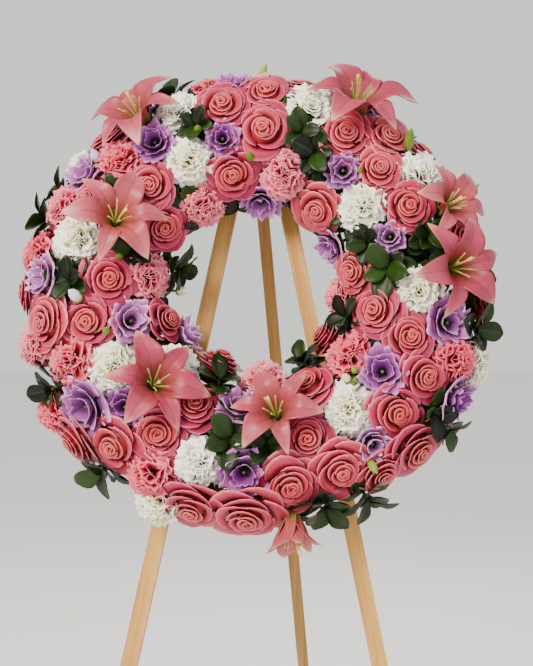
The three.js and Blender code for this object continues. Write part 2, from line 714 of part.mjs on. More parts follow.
// The hinge, built about its pin and then turned by the skew: a bent steel bracket, a pin and the rear leg.
const pinDepth = legBack + SEAT_GAP + BRACKET_PLATE + REAR_LEG_DEPTH / 2 + HEEL_CLEARANCE;
const plateFront = legBack + SEAT_GAP - pinDepth;
const plateBack = plateFront + BRACKET_PLATE;
const earInside = REAR_LEG_WIDTH / 2 + EAR_CLEARANCE;
const earOutside = earInside + BRACKET_PLATE;
const ontoHinge = leaning.clone()
  .multiply(new THREE.Matrix4().makeTranslation(0, pinDepth, LEG_LENGTH - PIN_DROP))
  .multiply(new THREE.Matrix4().makeRotationY(-REAR_SKEW));
const crossBar = (radius, reach) => new THREE.CylinderGeometry(radius, radius, 2 * reach, PIN_SIDES)
  .rotateZ(Math.PI / 2);
const channel = toSolid(boxBetween(
  [-earOutside, plateFront, -BRACKET_HEIGHT / 2],
  [earOutside, BRACKET_REACH / 2, BRACKET_HEIGHT / 2],
));
const channelSpace = toSolid(boxBetween(
  [-earInside, plateBack, -BRACKET_HEIGHT],
  [earInside, BRACKET_REACH, BRACKET_HEIGHT],
));
const pinHole = toSolid(crossBar(PIN_RADIUS + PIN_CLEARANCE, earOutside + 1));
const bracket = channel.subtract(channelSpace).subtract(pinHole);
easel.add(paint(toGeometry(bracket).applyMatrix4(ontoHinge), 'hinge_bracket', steel, 0.4, 0.8));
const pinHeads = [-1, 1].map((sign) => toSolid(crossBar(PIN_HEAD_RADIUS, PIN_HEAD_THICK / 2)
  .translate(sign * (earOutside + SEAT_GAP + PIN_HEAD_THICK / 2), 0, 0)));
const pin = join([toSolid(crossBar(PIN_RADIUS, earOutside + SEAT_GAP + 1)), ...pinHeads]);
easel.add(paint(toGeometry(pin).applyMatrix4(ontoHinge), 'hinge_pin', steel, 0.35, 0.9));

// The rear leg at rest: swung out until its bevelled heel lies against the bracket's plate.
const rearLath = toSolid(boxBetween(
  [-REAR_LEG_WIDTH / 2, -REAR_LEG_DEPTH / 2, -LEG_LENGTH],
  [REAR_LEG_WIDTH / 2, REAR_LEG_DEPTH / 2, HEEL],
).rotateX(REAR_SPREAD));
const heelCut = toSolid(boxBetween(
  [-REAR_LEG_WIDTH, -LEG_THICK * 3, -BRACKET_HEIGHT],
  [REAR_LEG_WIDTH, plateBack + SEAT_GAP, LEG_THICK * 4],
));
const rearLeg = toGeometry(rearLath.subtract(heelCut).subtract(pinHole)).applyMatrix4(ontoHinge);
const floorBox = new THREE.BoxGeometry(FLOOR_SIZE, FLOOR_SIZE, FLOOR_SIZE).translate(0, 0, -FLOOR_SIZE / 2);
easel.add(paint(toGeometry(toSolid(rearLeg).subtract(toSolid(floorBox))), 'rear_leg', pine, 0.7));

// The wreath hangs on the leaning plane; the whole stands with its box centred over the origin.
const leaningWreath = new THREE.Group();
leaningWreath.rotation.x = -LEAN;
wreath.position.z = wreathHeight;
leaningWreath.add(wreath);
const standingWreath = new THREE.Group();
standingWreath.add(leaningWreath, easel);
standingWreath.updateMatrixWorld(true);
const extent = new THREE.Box3().setFromObject(standingWreath, true);
const centre = extent.getCenter(new THREE.Vector3());
standingWreath.position.set(-centre.x, -centre.y, 0);

export default standingWreath;
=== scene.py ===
import math
from functools import partial

import bpy
import numpy as np
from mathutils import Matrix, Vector


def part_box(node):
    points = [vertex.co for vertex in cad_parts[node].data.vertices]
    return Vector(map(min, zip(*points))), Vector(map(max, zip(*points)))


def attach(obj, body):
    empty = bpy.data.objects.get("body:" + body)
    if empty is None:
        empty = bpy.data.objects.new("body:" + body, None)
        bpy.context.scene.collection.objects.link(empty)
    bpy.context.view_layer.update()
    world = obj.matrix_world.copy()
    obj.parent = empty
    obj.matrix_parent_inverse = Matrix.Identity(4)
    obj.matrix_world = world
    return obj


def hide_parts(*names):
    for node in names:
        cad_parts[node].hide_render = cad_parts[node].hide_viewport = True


# A funeral wreath of cut flowers on a three-legged pine easel. Metres, +Z up, the wreath faces -Y.
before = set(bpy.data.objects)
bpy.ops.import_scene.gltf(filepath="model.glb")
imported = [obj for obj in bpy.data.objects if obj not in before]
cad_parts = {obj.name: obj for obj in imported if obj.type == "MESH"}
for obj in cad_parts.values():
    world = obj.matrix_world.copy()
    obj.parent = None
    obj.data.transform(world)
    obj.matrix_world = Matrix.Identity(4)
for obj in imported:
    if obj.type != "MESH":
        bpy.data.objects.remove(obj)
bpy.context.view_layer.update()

# Camera and light
# The wreath is seen from the front, from a little to its right, close enough to crop the easel's feet.
MM = 0.001
# The photograph's scale at the wreath, from its blooms' sizes, and the render's scale there that matches it.
MM_PER_PIXEL, VIEW_MM_PER_PIXEL = 1.33, 1.273
IMAGE_HEIGHT = 666
SENSOR = 36
WREATH_CENTRE_PX = (258, 304)
CAMERA_DISTANCE = 1.6
CAMERA_AZIMUTH = math.radians(3)
CAMERA_ELEVATION = math.radians(3)
CAMERA_AIM_SHIFT = (0.016, -0.060, -0.040)
# Each lamp's name, place, width, power and colour. All point at the wreath.
LAMPS = (
    ("key_light", (-1.6, -2.6, 3.0), 1.6, 250, "#fff4e2"),
    ("fill_light", (2.4, -2.4, 1.6), 2.4, 26, "#ffffff"),
    ("back_light", (0.6, 2.4, 2.6), 2.0, 40, "#ffffff"),
)
STUDIO_COLOUR, STUDIO_STRENGTH = "#f4f4f2", 1.1


def add_object(name, data):
    """A new object in the scene that shows some data."""
    thing = bpy.data.objects.new(name, data)
    bpy.context.scene.collection.objects.link(thing)
    return thing


def linear(hex_colour):
    """An sRGB hex colour as linear red, green, blue and alpha."""
    channels = [int(hex_colour[i:i + 2], 16) / 255 for i in (1, 3, 5)]
    return [c / 12.92 if c <= 0.04045 else ((c + 0.055) / 1.055) ** 2.4 for c in channels] + [1.0]


tray_low, tray_high = (np.array(corner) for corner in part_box("ring_tray"))
ring_centre = (tray_low + tray_high) / 2
camera_data = bpy.data.cameras.new("photo_camera")
camera = add_object("photo_camera", camera_data)
aim = Vector(ring_centre) + Vector(CAMERA_AIM_SHIFT)
back = Vector((
    math.sin(CAMERA_AZIMUTH) * math.cos(CAMERA_ELEVATION),
    -math.cos(CAMERA_AZIMUTH) * math.cos(CAMERA_ELEVATION),
    math.sin(CAMERA_ELEVATION),
))
camera.location = aim + back * CAMERA_DISTANCE
camera.rotation_euler = back.to_track_quat("Z", "Y").to_euler()
camera_data.lens = SENSOR * CAMERA_DISTANCE / (IMAGE_HEIGHT * VIEW_MM_PER_PIXEL * MM)
camera_data.sensor_width = SENSOR
bpy.context.scene.camera = camera
for name, place, width, power, colour in LAMPS:
    lamp_data = bpy.data.lights.new(name, "AREA")
    lamp_data.shape, lamp_data.size = "SQUARE", width
    lamp_data.energy, lamp_data.color = power, linear(colour)[:3]
    lamp = add_object(name, lamp_data)
    lamp.location = place
    lamp.rotation_euler = (Vector(place) - Vector(ring_centre)).to_track_quat("Z", "Y").to_euler()
world = bpy.data.worlds.new("studio")
bpy.context.scene.world = world
world.use_nodes = True
background = world.node_tree.nodes["Background"]
background.inputs["Color"].default_value = linear(STUDIO_COLOUR)
background.inputs["Strength"].default_value = STUDIO_STRENGTH

# The floor
# A plain pale studio floor under the easel's feet, with a matt finish.
FLOOR_HALF = 12.0
FLOOR_CORNERS = ((-1, -1), (1, -1), (1, 1), (-1, 1))


def fill_sockets(tree, node, inputs):
    """A node's sockets get their links or their own values."""
    for name, value in inputs.items():
        if isinstance(value, bpy.types.NodeSocket):
            tree.links.new(value, node.inputs[name])
        else:
            node.inputs[name].default_value = value


def add_node(tree, kind, settings, inputs):
    """A shader node with its settings and its sockets' values or links."""
    node = tree.nodes.new(kind)
    for name, value in settings.items():
        setattr(node, name, value)
    fill_sockets(tree, node, inputs)
    return node


def new_material(name):
    """A new material with its node tree and its surface shader."""
    material = bpy.data.materials.new(name)
    material.use_nodes = True
    tree = material.node_tree
    return material, tree, tree.nodes["Principled BSDF"]


floor_mesh = bpy.data.meshes.new("studio_floor")
floor_mesh.from_pydata([(x * FLOOR_HALF, y * FLOOR_HALF, 0) for x, y in FLOOR_CORNERS], [], [(0, 1, 2, 3)])
floor = add_object("studio_floor", floor_mesh)
# Painted floor: off-white and matt, so that it takes soft shadows and no reflection.
floor_paint, floor_tree, floor_shader = new_material("matt_white_floor")
fill_sockets(floor_tree, floor_shader, {"Base Color": linear("#f2f1ee"), "Roughness": 0.9})
floor_mesh.materials.append(floor_paint)

# The easel
# Three planed pine laths, unfinished, with a sawn block at the head and two pegs that the ring hangs on. All
# are the frame's own solids, cut square and screwed together.
# How the laths slant: the front legs sideways and backwards, with the wreath, and the rear leg backwards.
LEG_SPLAY = math.atan(0.206)
LEAN = math.radians(9)
REAR_RAKE = math.radians(17)


def colour_ramp(tree, value, stops):
    """A colour ramp over a value, from pairs of position and sRGB hex colour."""
    ramp = add_node(tree, "ShaderNodeValToRGB", {}, {"Fac": value})
    elements = ramp.color_ramp.elements
    elements[0].position, elements[0].color = stops[0][0], linear(stops[0][1])
    elements[1].position, elements[1].color = stops[-1][0], linear(stops[-1][1])
    for position, colour in stops[1:-1]:
        elements.new(position).color = linear(colour)
    return ramp.outputs["Color"]


def blend_colours(tree, share, first, second, mode="MIX"):
    """Two colours mixed by a share, which is a socket or a number."""
    # The mix node's names repeat for each data type, so its colour sockets go by number: 6, 7 and result 2.
    return add_node(tree, "ShaderNodeMix", {"data_type": "RGBA", "blend_type": mode},
                    {0: share, 6: first, 7: second}).outputs[2]


def reshape(tree, value, low, high, start=0.0, end=1.0):
    """A value stretched from one range onto another, and held at its ends."""
    return add_node(tree, "ShaderNodeMapRange", {}, {
        "Value": value, "From Min": low, "From Max": high, "To Min": start, "To Max": end}).outputs["Result"]


def noise(tree, place, spacing, detail=3.0, roughness=0.5):
    """A cloudy pattern whose blotches are about one spacing apart, in metres."""
    return add_node(tree, "ShaderNodeTexNoise", {}, {
        "Vector": place, "Scale": 1 / spacing, "Detail": detail, "Roughness": roughness}).outputs["Fac"]


def own_place(tree):
    """The place on the piece itself, so that a pattern stays on a leg that folds."""
    return add_node(tree, "ShaderNodeTexCoord", {}, {}).outputs["Object"]


def surface_bump(tree, shader, height, strength, distance):
    """Relief from a value, which stands at most one distance high, in metres."""
    bump = add_node(tree, "ShaderNodeBump", {}, {
        "Height": height, "Strength": strength, "Distance": distance})
    tree.links.new(bump.outputs["Normal"], shader.inputs["Normal"])


def finish_solids(nodes, material):
    """The frame's own solids get their finish."""
    for node in nodes:
        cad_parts[node].data.materials.clear()
        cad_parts[node].data.materials.append(material)


# Planed pine: straw with amber late-wood lines along the grain, fine dark pores, matt. The late wood is 2 to
# 3 mm wide in the real lath and is drawn broader, so that it shows.
LATE_WOOD_SPACING, LATE_WOOD_RUN = 13 * MM, 455 * MM
PORE_SHARE = 6


def planed_pine(name, grain_turn, straw, late_wood):
    material, tree, shader = new_material(name)
    turned = add_node(tree, "ShaderNodeMapping", {"vector_type": "POINT"}, {
        "Vector": own_place(tree), "Rotation": grain_turn})
    along_grain = add_node(tree, "ShaderNodeMapping", {"vector_type": "POINT"}, {
        "Vector": turned.outputs["Vector"],
        "Scale": (1 / LATE_WOOD_SPACING, 1 / LATE_WOOD_SPACING, 1 / LATE_WOOD_RUN)}).outputs["Vector"]
    lines = noise(tree, along_grain, 1.0, 5.0, 0.6)
    pores = noise(tree, along_grain, 1 / PORE_SHARE, 3.0, 0.7)
    body = colour_ramp(tree, lines, ((0.34, late_wood), (0.62, straw)))
    pits = colour_ramp(tree, pores, ((0.35, "#b59a72"), (0.6, "#ffffff")))
    fill_sockets(tree, shader, {
        "Base Color": blend_colours(tree, 0.35, body, pits, "MULTIPLY"), "Roughness": 0.62,
        "Specular IOR Level": 0.35})
    surface_bump(tree, shader, pores, 0.25, 0.6 * MM)
    return material


pine_left = planed_pine("planed_pine_left", (LEAN, -LEG_SPLAY, 0), "#cc9c58", "#ac7a3c")
pine_right = planed_pine("planed_pine_right", (LEAN, LEG_SPLAY, 0), "#cfa05a", "#b07e3e")
# The rear leg and the head block take a darker copy of the same pine: painted shade, for where they stand
# behind the front legs and the wreath.
pine_rear = planed_pine("planed_pine_rear_painted_shade", (-REAR_RAKE, 0, 0), "#a47c44", "#805c2c")
finish_solids(("front_leg_left", "ring_peg_left"), pine_left)
finish_solids(("front_leg_right", "ring_peg_right"), pine_right)
finish_solids(("rear_leg", "head_block"), pine_rear)

# The hinge
# A bent steel bracket, screwed to the block, and the pin that the rear leg turns on.
# Zinc plated steel: dull grey with a spangle of slightly darker patches and soft highlights.
SPANGLE_SPACING = 6 * MM
zinc, zinc_tree, zinc_shader = new_material("zinc_plated_steel")
spangle = noise(zinc_tree, own_place(zinc_tree), SPANGLE_SPACING, 4.0)
fill_sockets(zinc_tree, zinc_shader, {
    "Base Color": colour_ramp(zinc_tree, spangle, ((0.3, "#8d9196"), (0.7, "#b4b6b8"))),
    "Roughness": reshape(zinc_tree, spangle, 0.3, 0.7, 0.44, 0.34), "Metallic": 1.0})
finish_solids(("hinge_bracket", "hinge_pin"), zinc)

# The foam ring and its tray
# A ring of wet floral foam that holds every stem, pressed into a moulded tray that shows only from behind and
# hangs on the easel's pegs.
# Wet floral foam: dark green, matt and open celled. Real cells are under 1 mm and are drawn at 2.4 mm.
FOAM_CELL = 2.4 * MM
foam, foam_tree, foam_shader = new_material("wet_floral_foam")
foam_cells = add_node(foam_tree, "ShaderNodeTexVoronoi", {}, {
    "Vector": own_place(foam_tree), "Scale": 1 / FOAM_CELL}).outputs["Distance"]
foam_colour = colour_ramp(foam_tree, foam_cells, ((0.0, "#142214"), (1.0, "#263c20")))
fill_sockets(foam_tree, foam_shader, {"Base Color": foam_colour, "Roughness": 0.85})
surface_bump(foam_tree, foam_shader, foam_cells, 0.6, 1.0 * MM)
finish_solids(("foam_ring",), foam)

# Moulded polypropylene: near-black green, satin, with a fine spark texture and shallow ribs round the ring.
TRAY_RIB_SPACING, SPARK_SPACING = 9 * MM, 1.1 * MM
tray_plastic, tray_tree, tray_shader = new_material("moulded_polypropylene_tray")
tray_place = own_place(tray_tree)
from_centre = add_node(tray_tree, "ShaderNodeVectorMath", {"operation": "DISTANCE"}, {
    0: tray_place, 1: Vector(ring_centre)})
rib_turn = add_node(tray_tree, "ShaderNodeMath", {"operation": "MULTIPLY"}, {
    0: from_centre.outputs["Value"], 1: 2 * math.pi / TRAY_RIB_SPACING})
rib_wave = add_node(tray_tree, "ShaderNodeMath", {"operation": "SINE"}, {0: rib_turn.outputs[0]}).outputs[0]
rib = reshape(tray_tree, rib_wave, 0.3, 0.9)
spark = noise(tray_tree, tray_place, SPARK_SPACING, 2.0)
tray_ground = colour_ramp(tray_tree, spark, ((0.3, "#16221a"), (0.7, "#1f2f25")))
fill_sockets(tray_tree, tray_shader, {
    "Base Color": blend_colours(tray_tree, rib, tray_ground, linear("#283b2e")),
    "Roughness": reshape(tray_tree, spark, 0.3, 0.7, 0.42, 0.54)})
surface_bump(tray_tree, tray_shader, rib, 0.5, 1.5 * MM)
finish_solids(("ring_tray",), tray_plastic)

# The stems' places
# Each stem is pushed into the foam on its own, so every bloom stands square to the ring's rounded face. The
# spots are read as across, down and width in the photograph's pixels. Blooms that crowd are eased apart.
# Sizes are in millimetres, about the middle of the ring's base.
RING_RADIUS = 200
TRAY_MIDDLE_DEPTH = 19.8
# The half round cover of blooms and the smaller one of stem feet in the foam: half width and depth.
FLOWER_HALF_WIDTH, FLOWER_DEPTH = 112, 86
ROOT_HALF_WIDTH, ROOT_DEPTH = 66, 44
WIDER_BELOW, WIDER_LEFT = 14, 2
FACE_INSET = 4
EDGE_LIMIT = 0.985
# A lily crowds its neighbours only with its throat, whose width is in pixels.
LILY_CROWD_WIDTH = 34
CROWD_FILL = 0.97
SETTLE_ROUNDS, SETTLE_STEP = 160, 0.25
# Each bloom's turn about its stem comes from a repeatable row of whole numbers.
SPIN_SEED, SPIN_FACTOR, SPIN_RANGE = 20261, 16807, 2147483647

ROSES = [
    (225, 126, 46), (260, 106, 44), (259, 149, 50), (229, 191, 46), (160, 202, 44), (103, 208, 34),
    (180, 245, 46), (117, 295, 48), (60, 328, 50), (103, 343, 46), (182, 323, 38), (203, 393, 44),
    (179, 440, 50), (132, 451, 48), (196, 502, 50), (249, 514, 56), (230, 357, 42), (299, 480, 50),
    (342, 472, 48), (318, 436, 44), (310, 383, 46), (371, 313, 46), (355, 270, 42), (404, 346, 42),
    (385, 412, 46), (419, 387, 42), (412, 444, 48), (321, 215, 46), (369, 195, 38), (334, 152, 46),
    (379, 154, 46), (396, 226, 44), (430, 150, 38), (107, 152, 50), (84, 446, 44), (461, 254, 40),
    (482, 318, 42), (297, 96, 42), (332, 82, 40), (31, 290, 36), (309, 337, 34), (391, 467, 36),
]
WHITE_CARNATIONS = [
    (304, 131, 48), (350, 228, 48), (403, 193, 50), (190, 182, 46), (193, 121, 42), (83, 249, 48),
    (80, 156, 38), (122, 378, 50), (197, 362, 46), (350, 415, 50), (225, 467, 46), (421, 309, 46),
    (461, 374, 42), (168, 513, 34),
]
PINK_CARNATIONS = [
    (124, 180, 46), (70, 215, 44), (45, 258, 42), (155, 284, 46), (154, 481, 48), (76, 364, 46),
    (290, 186, 48), (212, 216, 42), (268, 78, 42), (353, 359, 46), (335, 302, 42), (274, 369, 46),
    (441, 365, 40), (214, 84, 40), (62, 412, 38), (38, 348, 34),
]
LISIANTHUS = [
    (74, 189, 36), (144, 109, 38), (163, 165, 34), (240, 86, 34), (240, 163, 30), (345, 183, 32),
    (269, 211, 38), (434, 186, 42), (403, 128, 34), (387, 262, 28), (60, 292, 40), (145, 328, 40),
    (96, 414, 46), (142, 418, 32), (243, 412, 38), (259, 474, 42), (382, 370, 42), (433, 337, 40),
    (444, 406, 38), (371, 452, 30), (325, 254, 36), (366, 95, 32), (476, 237, 34), (206, 336, 32),
]
LILIES = [
    (163, 142, 104), (131, 244, 104), (160, 390, 104), (281, 412, 92), (348, 118, 116),
    (440, 218, 88), (440, 287, 104), (301, 512, 92),
]
LEAF_TUFTS = [
    (32, 236, 36), (90, 282, 36), (140, 263, 26), (192, 281, 34), (235, 377, 32), (70, 388, 34),
    (236, 442, 34), (331, 504, 38), (378, 494, 34), (456, 330, 36), (421, 431, 30), (394, 290, 34),
    (313, 176, 30), (199, 98, 36), (129, 212, 24), (298, 354, 26), (345, 330, 28), (211, 145, 24),
    (100, 474, 34), (470, 286, 34), (436, 428, 30), (275, 448, 30),
    (355, 256, 22), (66, 168, 28), (416, 242, 24), (296, 155, 22),
]


def flower_half_width(across, up):
    """Half the width of the cover of blooms in one direction, which is wider below and to the left."""
    return FLOWER_HALF_WIDTH - WIDER_BELOW * up - WIDER_LEFT * across


def place_on_ring(radial, sideways):
    """The face, foot, outward direction and height at one place over the ring, about the ring's centre."""
    forward = math.sqrt(1 - sideways ** 2)

    def point_on(half_width, depth):
        point = np.array(radial) * (RING_RADIUS + half_width * sideways)
        point[1] = -depth * forward
        return point

    face = point_on(flower_half_width(radial[0], radial[2]) - FACE_INSET, FLOWER_DEPTH)
    foot = point_on(ROOT_HALF_WIDTH, ROOT_DEPTH)
    height = float(np.linalg.norm(face - foot))
    return face, foot, (face - foot) / height, height


def place_spot(x, y):
    """A pixel spot as a place over the ring."""
    across = (x - WREATH_CENTRE_PX[0]) * MM_PER_PIXEL
    up = (WREATH_CENTRE_PX[1] - y) * MM_PER_PIXEL
    distance = math.hypot(across, up)
    radial = (across / distance, 0, up / distance)
    sideways = (distance - RING_RADIUS) / flower_half_width(radial[0], radial[2])
    return place_on_ring(radial, max(-EDGE_LIMIT, min(EDGE_LIMIT, sideways)))


def pairs_too_close(faces, reaches):
    """The pairs of blooms that touch, in order, with the distance between each pair."""
    apart = np.linalg.norm(faces[:, None] - faces[None], axis=2)
    close = np.triu(apart < reaches[:, None] + reaches[None], 1)
    return [(int(i), int(j), float(apart[i, j])) for i, j in np.argwhere(close)]


def settled_spots():
    """Every bloom with its spot eased away from its neighbours and its reach cut where two still meet."""
    seed = SPIN_SEED
    items = []
    for kind, spots in (
            ("roses", ROSES), ("white_carnations", WHITE_CARNATIONS), ("pink_carnations", PINK_CARNATIONS),
            ("lisianthus", LISIANTHUS), ("lily", LILIES), ("foliage", LEAF_TUFTS)):
        for x, y, width in spots:
            seed = (seed * SPIN_FACTOR) % SPIN_RANGE
            crowd = LILY_CROWD_WIDTH if kind == "lily" else width
            items.append({
                "kind": kind, "x": float(x), "y": float(y), "width": width,
                "reach": crowd * MM_PER_PIXEL / 2, "spin": seed / SPIN_RANGE * 2 * math.pi,
            })
    reaches = np.array([item["reach"] for item in items])
    for _ in range(SETTLE_ROUNDS):
        faces = np.array([place_spot(item["x"], item["y"])[0] for item in items])
        for i, j, apart in pairs_too_close(faces, reaches):
            first, second = items[i], items[j]
            dx, dy = second["x"] - first["x"], second["y"] - first["y"]
            push = SETTLE_STEP * (reaches[i] + reaches[j] - apart) / MM_PER_PIXEL / math.hypot(dx, dy)
            first["x"] -= dx * push
            first["y"] -= dy * push
            second["x"] += dx * push
            second["y"] += dy * push
        for item in items:
            dx, dy = item["x"] - WREATH_CENTRE_PX[0], item["y"] - WREATH_CENTRE_PX[1]
            distance = math.hypot(dx, dy)
            limit = EDGE_LIMIT * flower_half_width(dx / distance, -dy / distance)
            nearest = (RING_RADIUS - limit) / MM_PER_PIXEL
            farthest = (RING_RADIUS + limit) / MM_PER_PIXEL
            kept = max(nearest, min(farthest, distance)) / distance
            item["x"] = WREATH_CENTRE_PX[0] + dx * kept
            item["y"] = WREATH_CENTRE_PX[1] + dy * kept
    for item in items:
        item["face"], item["foot"], item["out"], item["height"] = place_spot(item["x"], item["y"])
    for i, first in enumerate(items):
        for second in items[i + 1:]:
            apart = float(np.linalg.norm(first["face"] - second["face"]))
            fit = apart * CROWD_FILL / (first["reach"] + second["reach"])
            if fit < 1:
                first["reach"] *= fit
                second["reach"] *= fit
    return items


def lean_back(points):
    """Points about the ring's centre, in millimetres, leaned back with the easel and set in the room."""
    turn = np.array((
        (1, 0, 0), (0, math.cos(LEAN), math.sin(LEAN)), (0, -math.sin(LEAN), math.cos(LEAN))))
    tray_middle = np.array((0, TRAY_MIDDLE_DEPTH, 0))
    return ring_centre + (np.asarray(points) - tray_middle) @ turn.T * MM


blooms = settled_spots()

# The roses
# Cut garden roses, open: a tight, slightly uneven whorl of petals in the heart and broad guard petals round
# it, velvety and rolled back at the rim. Each has a cup of sepals and its own stem in the foam.
ROSE_HEART, ROSE_MIDDLE, ROSE_GUARD = 10, 4, 6
ROSE_SPREAD = 1.16
ROSE_PETAL_THICKNESS = 0.6
# The near black at each rose petal's foot: painted shade in the folds between petals.
ROSE_PAINTED_CREVICE_SHADE = "#2c0208"
SEPALS, SEPAL_THICKNESS = 5, 0.8
# Each next petal turns by this angle, so that no petal lies square over another.
GOLDEN_ANGLE = math.radians(137.508)
# The random turn at which a petal's ripple starts.
RIPPLE_TURN = 6.28
# Weights that mix a bloom's and a petal's number into a value that looks random.
CHANCE_WEIGHTS, CHANCE_SHIFT, CHANCE_SPREAD = (12.9898, 78.233, 37.719, 93.989), 0.5, 43758.5453
# Blooms at the ring's outer edge have room to open wider, by up to this share.
EDGE_ROOM = 0.1
# A bloom belongs to the node whose solid is nearest to this share of its height.
BLOOM_MIDDLE = 0.75
FLOWER_KINDS = ("roses", "white_carnations", "pink_carnations", "lisianthus", "lily", "foliage")
MOTTLE_SPACING, LEAF_BLOTCH_SPACING = 8.3 * MM, 14 * MM
# Each piece's paints in order: the skin of its petals or leaves, the stems' skin, then its own others.
SKIN, STEM = 0, 1


class Growth:
    """The petals, leaves and stems of one joined piece, gathered as arrays and written as one mesh."""

    def __init__(self):
        self.points, self.faces, self.paints = [], [], []
        self.values = {"along": [], "age": [], "tone": []}
        self.count = 0

    def add(self, points, faces, paint, along, age, tone):
        """More points and four-cornered faces, with the values that their paints read."""
        points = np.asarray(points)
        self.points.append(points)
        self.faces.append(np.asarray(faces) + self.count)
        self.paints.append(np.full(len(faces), paint))
        for name, value in (("along", along), ("age", age), ("tone", tone)):
            self.values[name].append(np.broadcast_to(np.asarray(value, dtype=float), (len(points),)))
        self.count += len(points)

    def sheet(self, grid, thickness, paint, along, age, tone):
        """A petal or leaf: a grid of points given both faces and a closed rim."""
        rows, columns = grid.shape[:2]
        down = np.gradient(grid, axis=0)
        right = np.gradient(grid, axis=1)
        normal = np.cross(down, right)
        normal /= np.maximum(np.linalg.norm(normal, axis=2, keepdims=True), 1e-9)
        upper = grid + normal * thickness / 2
        lower = grid - normal * thickness / 2
        points = np.concatenate((upper.reshape(-1, 3), lower.reshape(-1, 3)))
        index = np.arange(rows * columns).reshape(rows, columns)
        a, b, c, d = index[:-1, :-1], index[:-1, 1:], index[1:, 1:], index[1:, :-1]
        top = np.stack((a, d, c, b), axis=-1).reshape(-1, 4)
        size = rows * columns
        bottom = np.stack((a, b, c, d), axis=-1).reshape(-1, 4) + size
        rim = np.concatenate((index[0, :], index[1:, -1], index[-1, -2::-1], index[-2:0:-1, 0]))
        following = np.roll(rim, -1)
        edge = np.stack((rim, following, following + size, rim + size), axis=-1)
        along, age = (
            np.tile(np.broadcast_to(value, (rows, columns)).reshape(-1), 2) for value in (along, age))
        self.add(points, np.concatenate((top, bottom, edge)), paint, along, age, tone)

    def tube(self, path, radii, sides, paint, age, tone):
        """A round stem, filament or bud swept along a path, closed at both ends."""
        path = np.asarray(path, dtype=float)
        ahead = np.gradient(path, axis=0)
        ahead /= np.linalg.norm(ahead, axis=1, keepdims=True)
        helper = np.array((0.0, 0.0, 1.0)) if abs(ahead[0][2]) < 0.9 else np.array((1.0, 0.0, 0.0))
        side = np.cross(helper, ahead)
        side /= np.linalg.norm(side, axis=1, keepdims=True)
        other = np.cross(ahead, side)
        angles = np.arange(sides) / sides * 2 * math.pi
        ring = np.cos(angles)[None, :, None] * side[:, None] + np.sin(angles)[None, :, None] * other[:, None]
        points = path[:, None] + ring * np.asarray(radii)[:, None, None]
        index = np.arange(len(path) * sides).reshape(len(path), sides)
        ahead_index = np.roll(index, -1, axis=1)
        walls = np.stack((index[:-1], ahead_index[:-1], ahead_index[1:], index[1:]), axis=-1).reshape(-1, 4)
        flat = points.reshape(-1, 3)
        ends = np.array((path[0], path[-1]))
        count = len(flat)
        first = np.stack((np.full(sides, count), ahead_index[0], index[0], index[0]), axis=-1)
        last = np.stack((np.full(sides, count + 1), index[-1], ahead_index[-1], ahead_index[-1]), axis=-1)
        along = np.concatenate((np.repeat(np.linspace(0, 1, len(path)), sides), (0.0, 1.0)))
        faces = np.concatenate((walls, first, last))
        self.add(np.concatenate((flat, ends)), faces, paint, along, age, tone)

    def finish(self, name, paints):
        """Write the gathered shapes as one smooth object in the room's metres."""
        faces = np.concatenate(self.faces)
        paint_of = np.concatenate(self.paints)
        # A face that names its third corner twice is a triangle.
        triangle = faces[:, 2] == faces[:, 3]
        sizes = np.where(triangle, 3, 4)
        starts = np.concatenate(([0], np.cumsum(sizes)[:-1]))
        keep = np.ones(faces.shape, dtype=bool)
        keep[triangle, 3] = False
        corners_used = faces[keep]
        points = lean_back(np.concatenate(self.points)).astype(np.float32)
        mesh = bpy.data.meshes.new(name)
        mesh.vertices.add(len(points))
        mesh.vertices.foreach_set("co", points.ravel())
        mesh.loops.add(len(corners_used))
        mesh.loops.foreach_set("vertex_index", corners_used.astype(np.int32))
        mesh.polygons.add(len(faces))
        mesh.polygons.foreach_set("loop_start", starts.astype(np.int32))
        mesh.polygons.foreach_set("material_index", paint_of.astype(np.int32))
        mesh.update(calc_edges=True)
        mesh.validate()
        mesh.polygons.foreach_set("use_smooth", np.ones(len(mesh.polygons), dtype=bool))
        for label, values in self.values.items():
            layer = mesh.attributes.new(label, "FLOAT", "POINT")
            layer.data.foreach_set("value", np.concatenate(values).astype(np.float32))
        for paint in paints:
            mesh.materials.append(paint)
        return add_object(name, mesh)


def bloom_axes(item):
    """The bloom's own sideways, upward and outward directions, turned by its spin about its stem."""
    side = np.cross((0, 0, 1), item["out"])
    length = np.linalg.norm(side)
    side = np.array((1.0, 0, 0)) if length < 0.1 else side / length
    up = np.cross(item["out"], side)
    x = side * math.cos(item["spin"]) + up * math.sin(item["spin"])
    return np.stack((x, np.cross(item["out"], x), item["out"]))


def petal_net(rows, columns):
    """A net's shares along a petal, from 0 at its foot to 1, and across it, from -1 to 1."""
    return np.meshgrid(np.linspace(0, 1, rows), np.linspace(-1, 1, columns), indexing="ij")


def shares(count):
    """Shares from 0 to 1 for the petals of a whorl, from the innermost to the outermost."""
    return [k / (count - 1) for k in range(count)]


def spokes(theta):
    """The direction out from a bloom's middle at one angle, and the direction round it there."""
    return np.array((math.cos(theta), math.sin(theta), 0)), np.array((-math.sin(theta), math.cos(theta), 0))


def set_in_ring(points, item):
    """Points in a bloom's own frame, moved to the bloom's foot on the ring."""
    return item["foot"] + points @ item["axes"]


def chance(*numbers):
    """A repeatable value from 0 to 1 for a bloom and petal number."""
    mixed = sum(number * weight for number, weight in zip(numbers, CHANCE_WEIGHTS))
    value = math.sin(mixed + CHANCE_SHIFT) * CHANCE_SPREAD
    return value - math.floor(value)


def node_points(name):
    """The corners of a node's solid, in the room's metres."""
    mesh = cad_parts[name].data
    points = np.empty(len(mesh.vertices) * 3)
    mesh.vertices.foreach_get("co", points)
    return points.reshape(-1, 3)


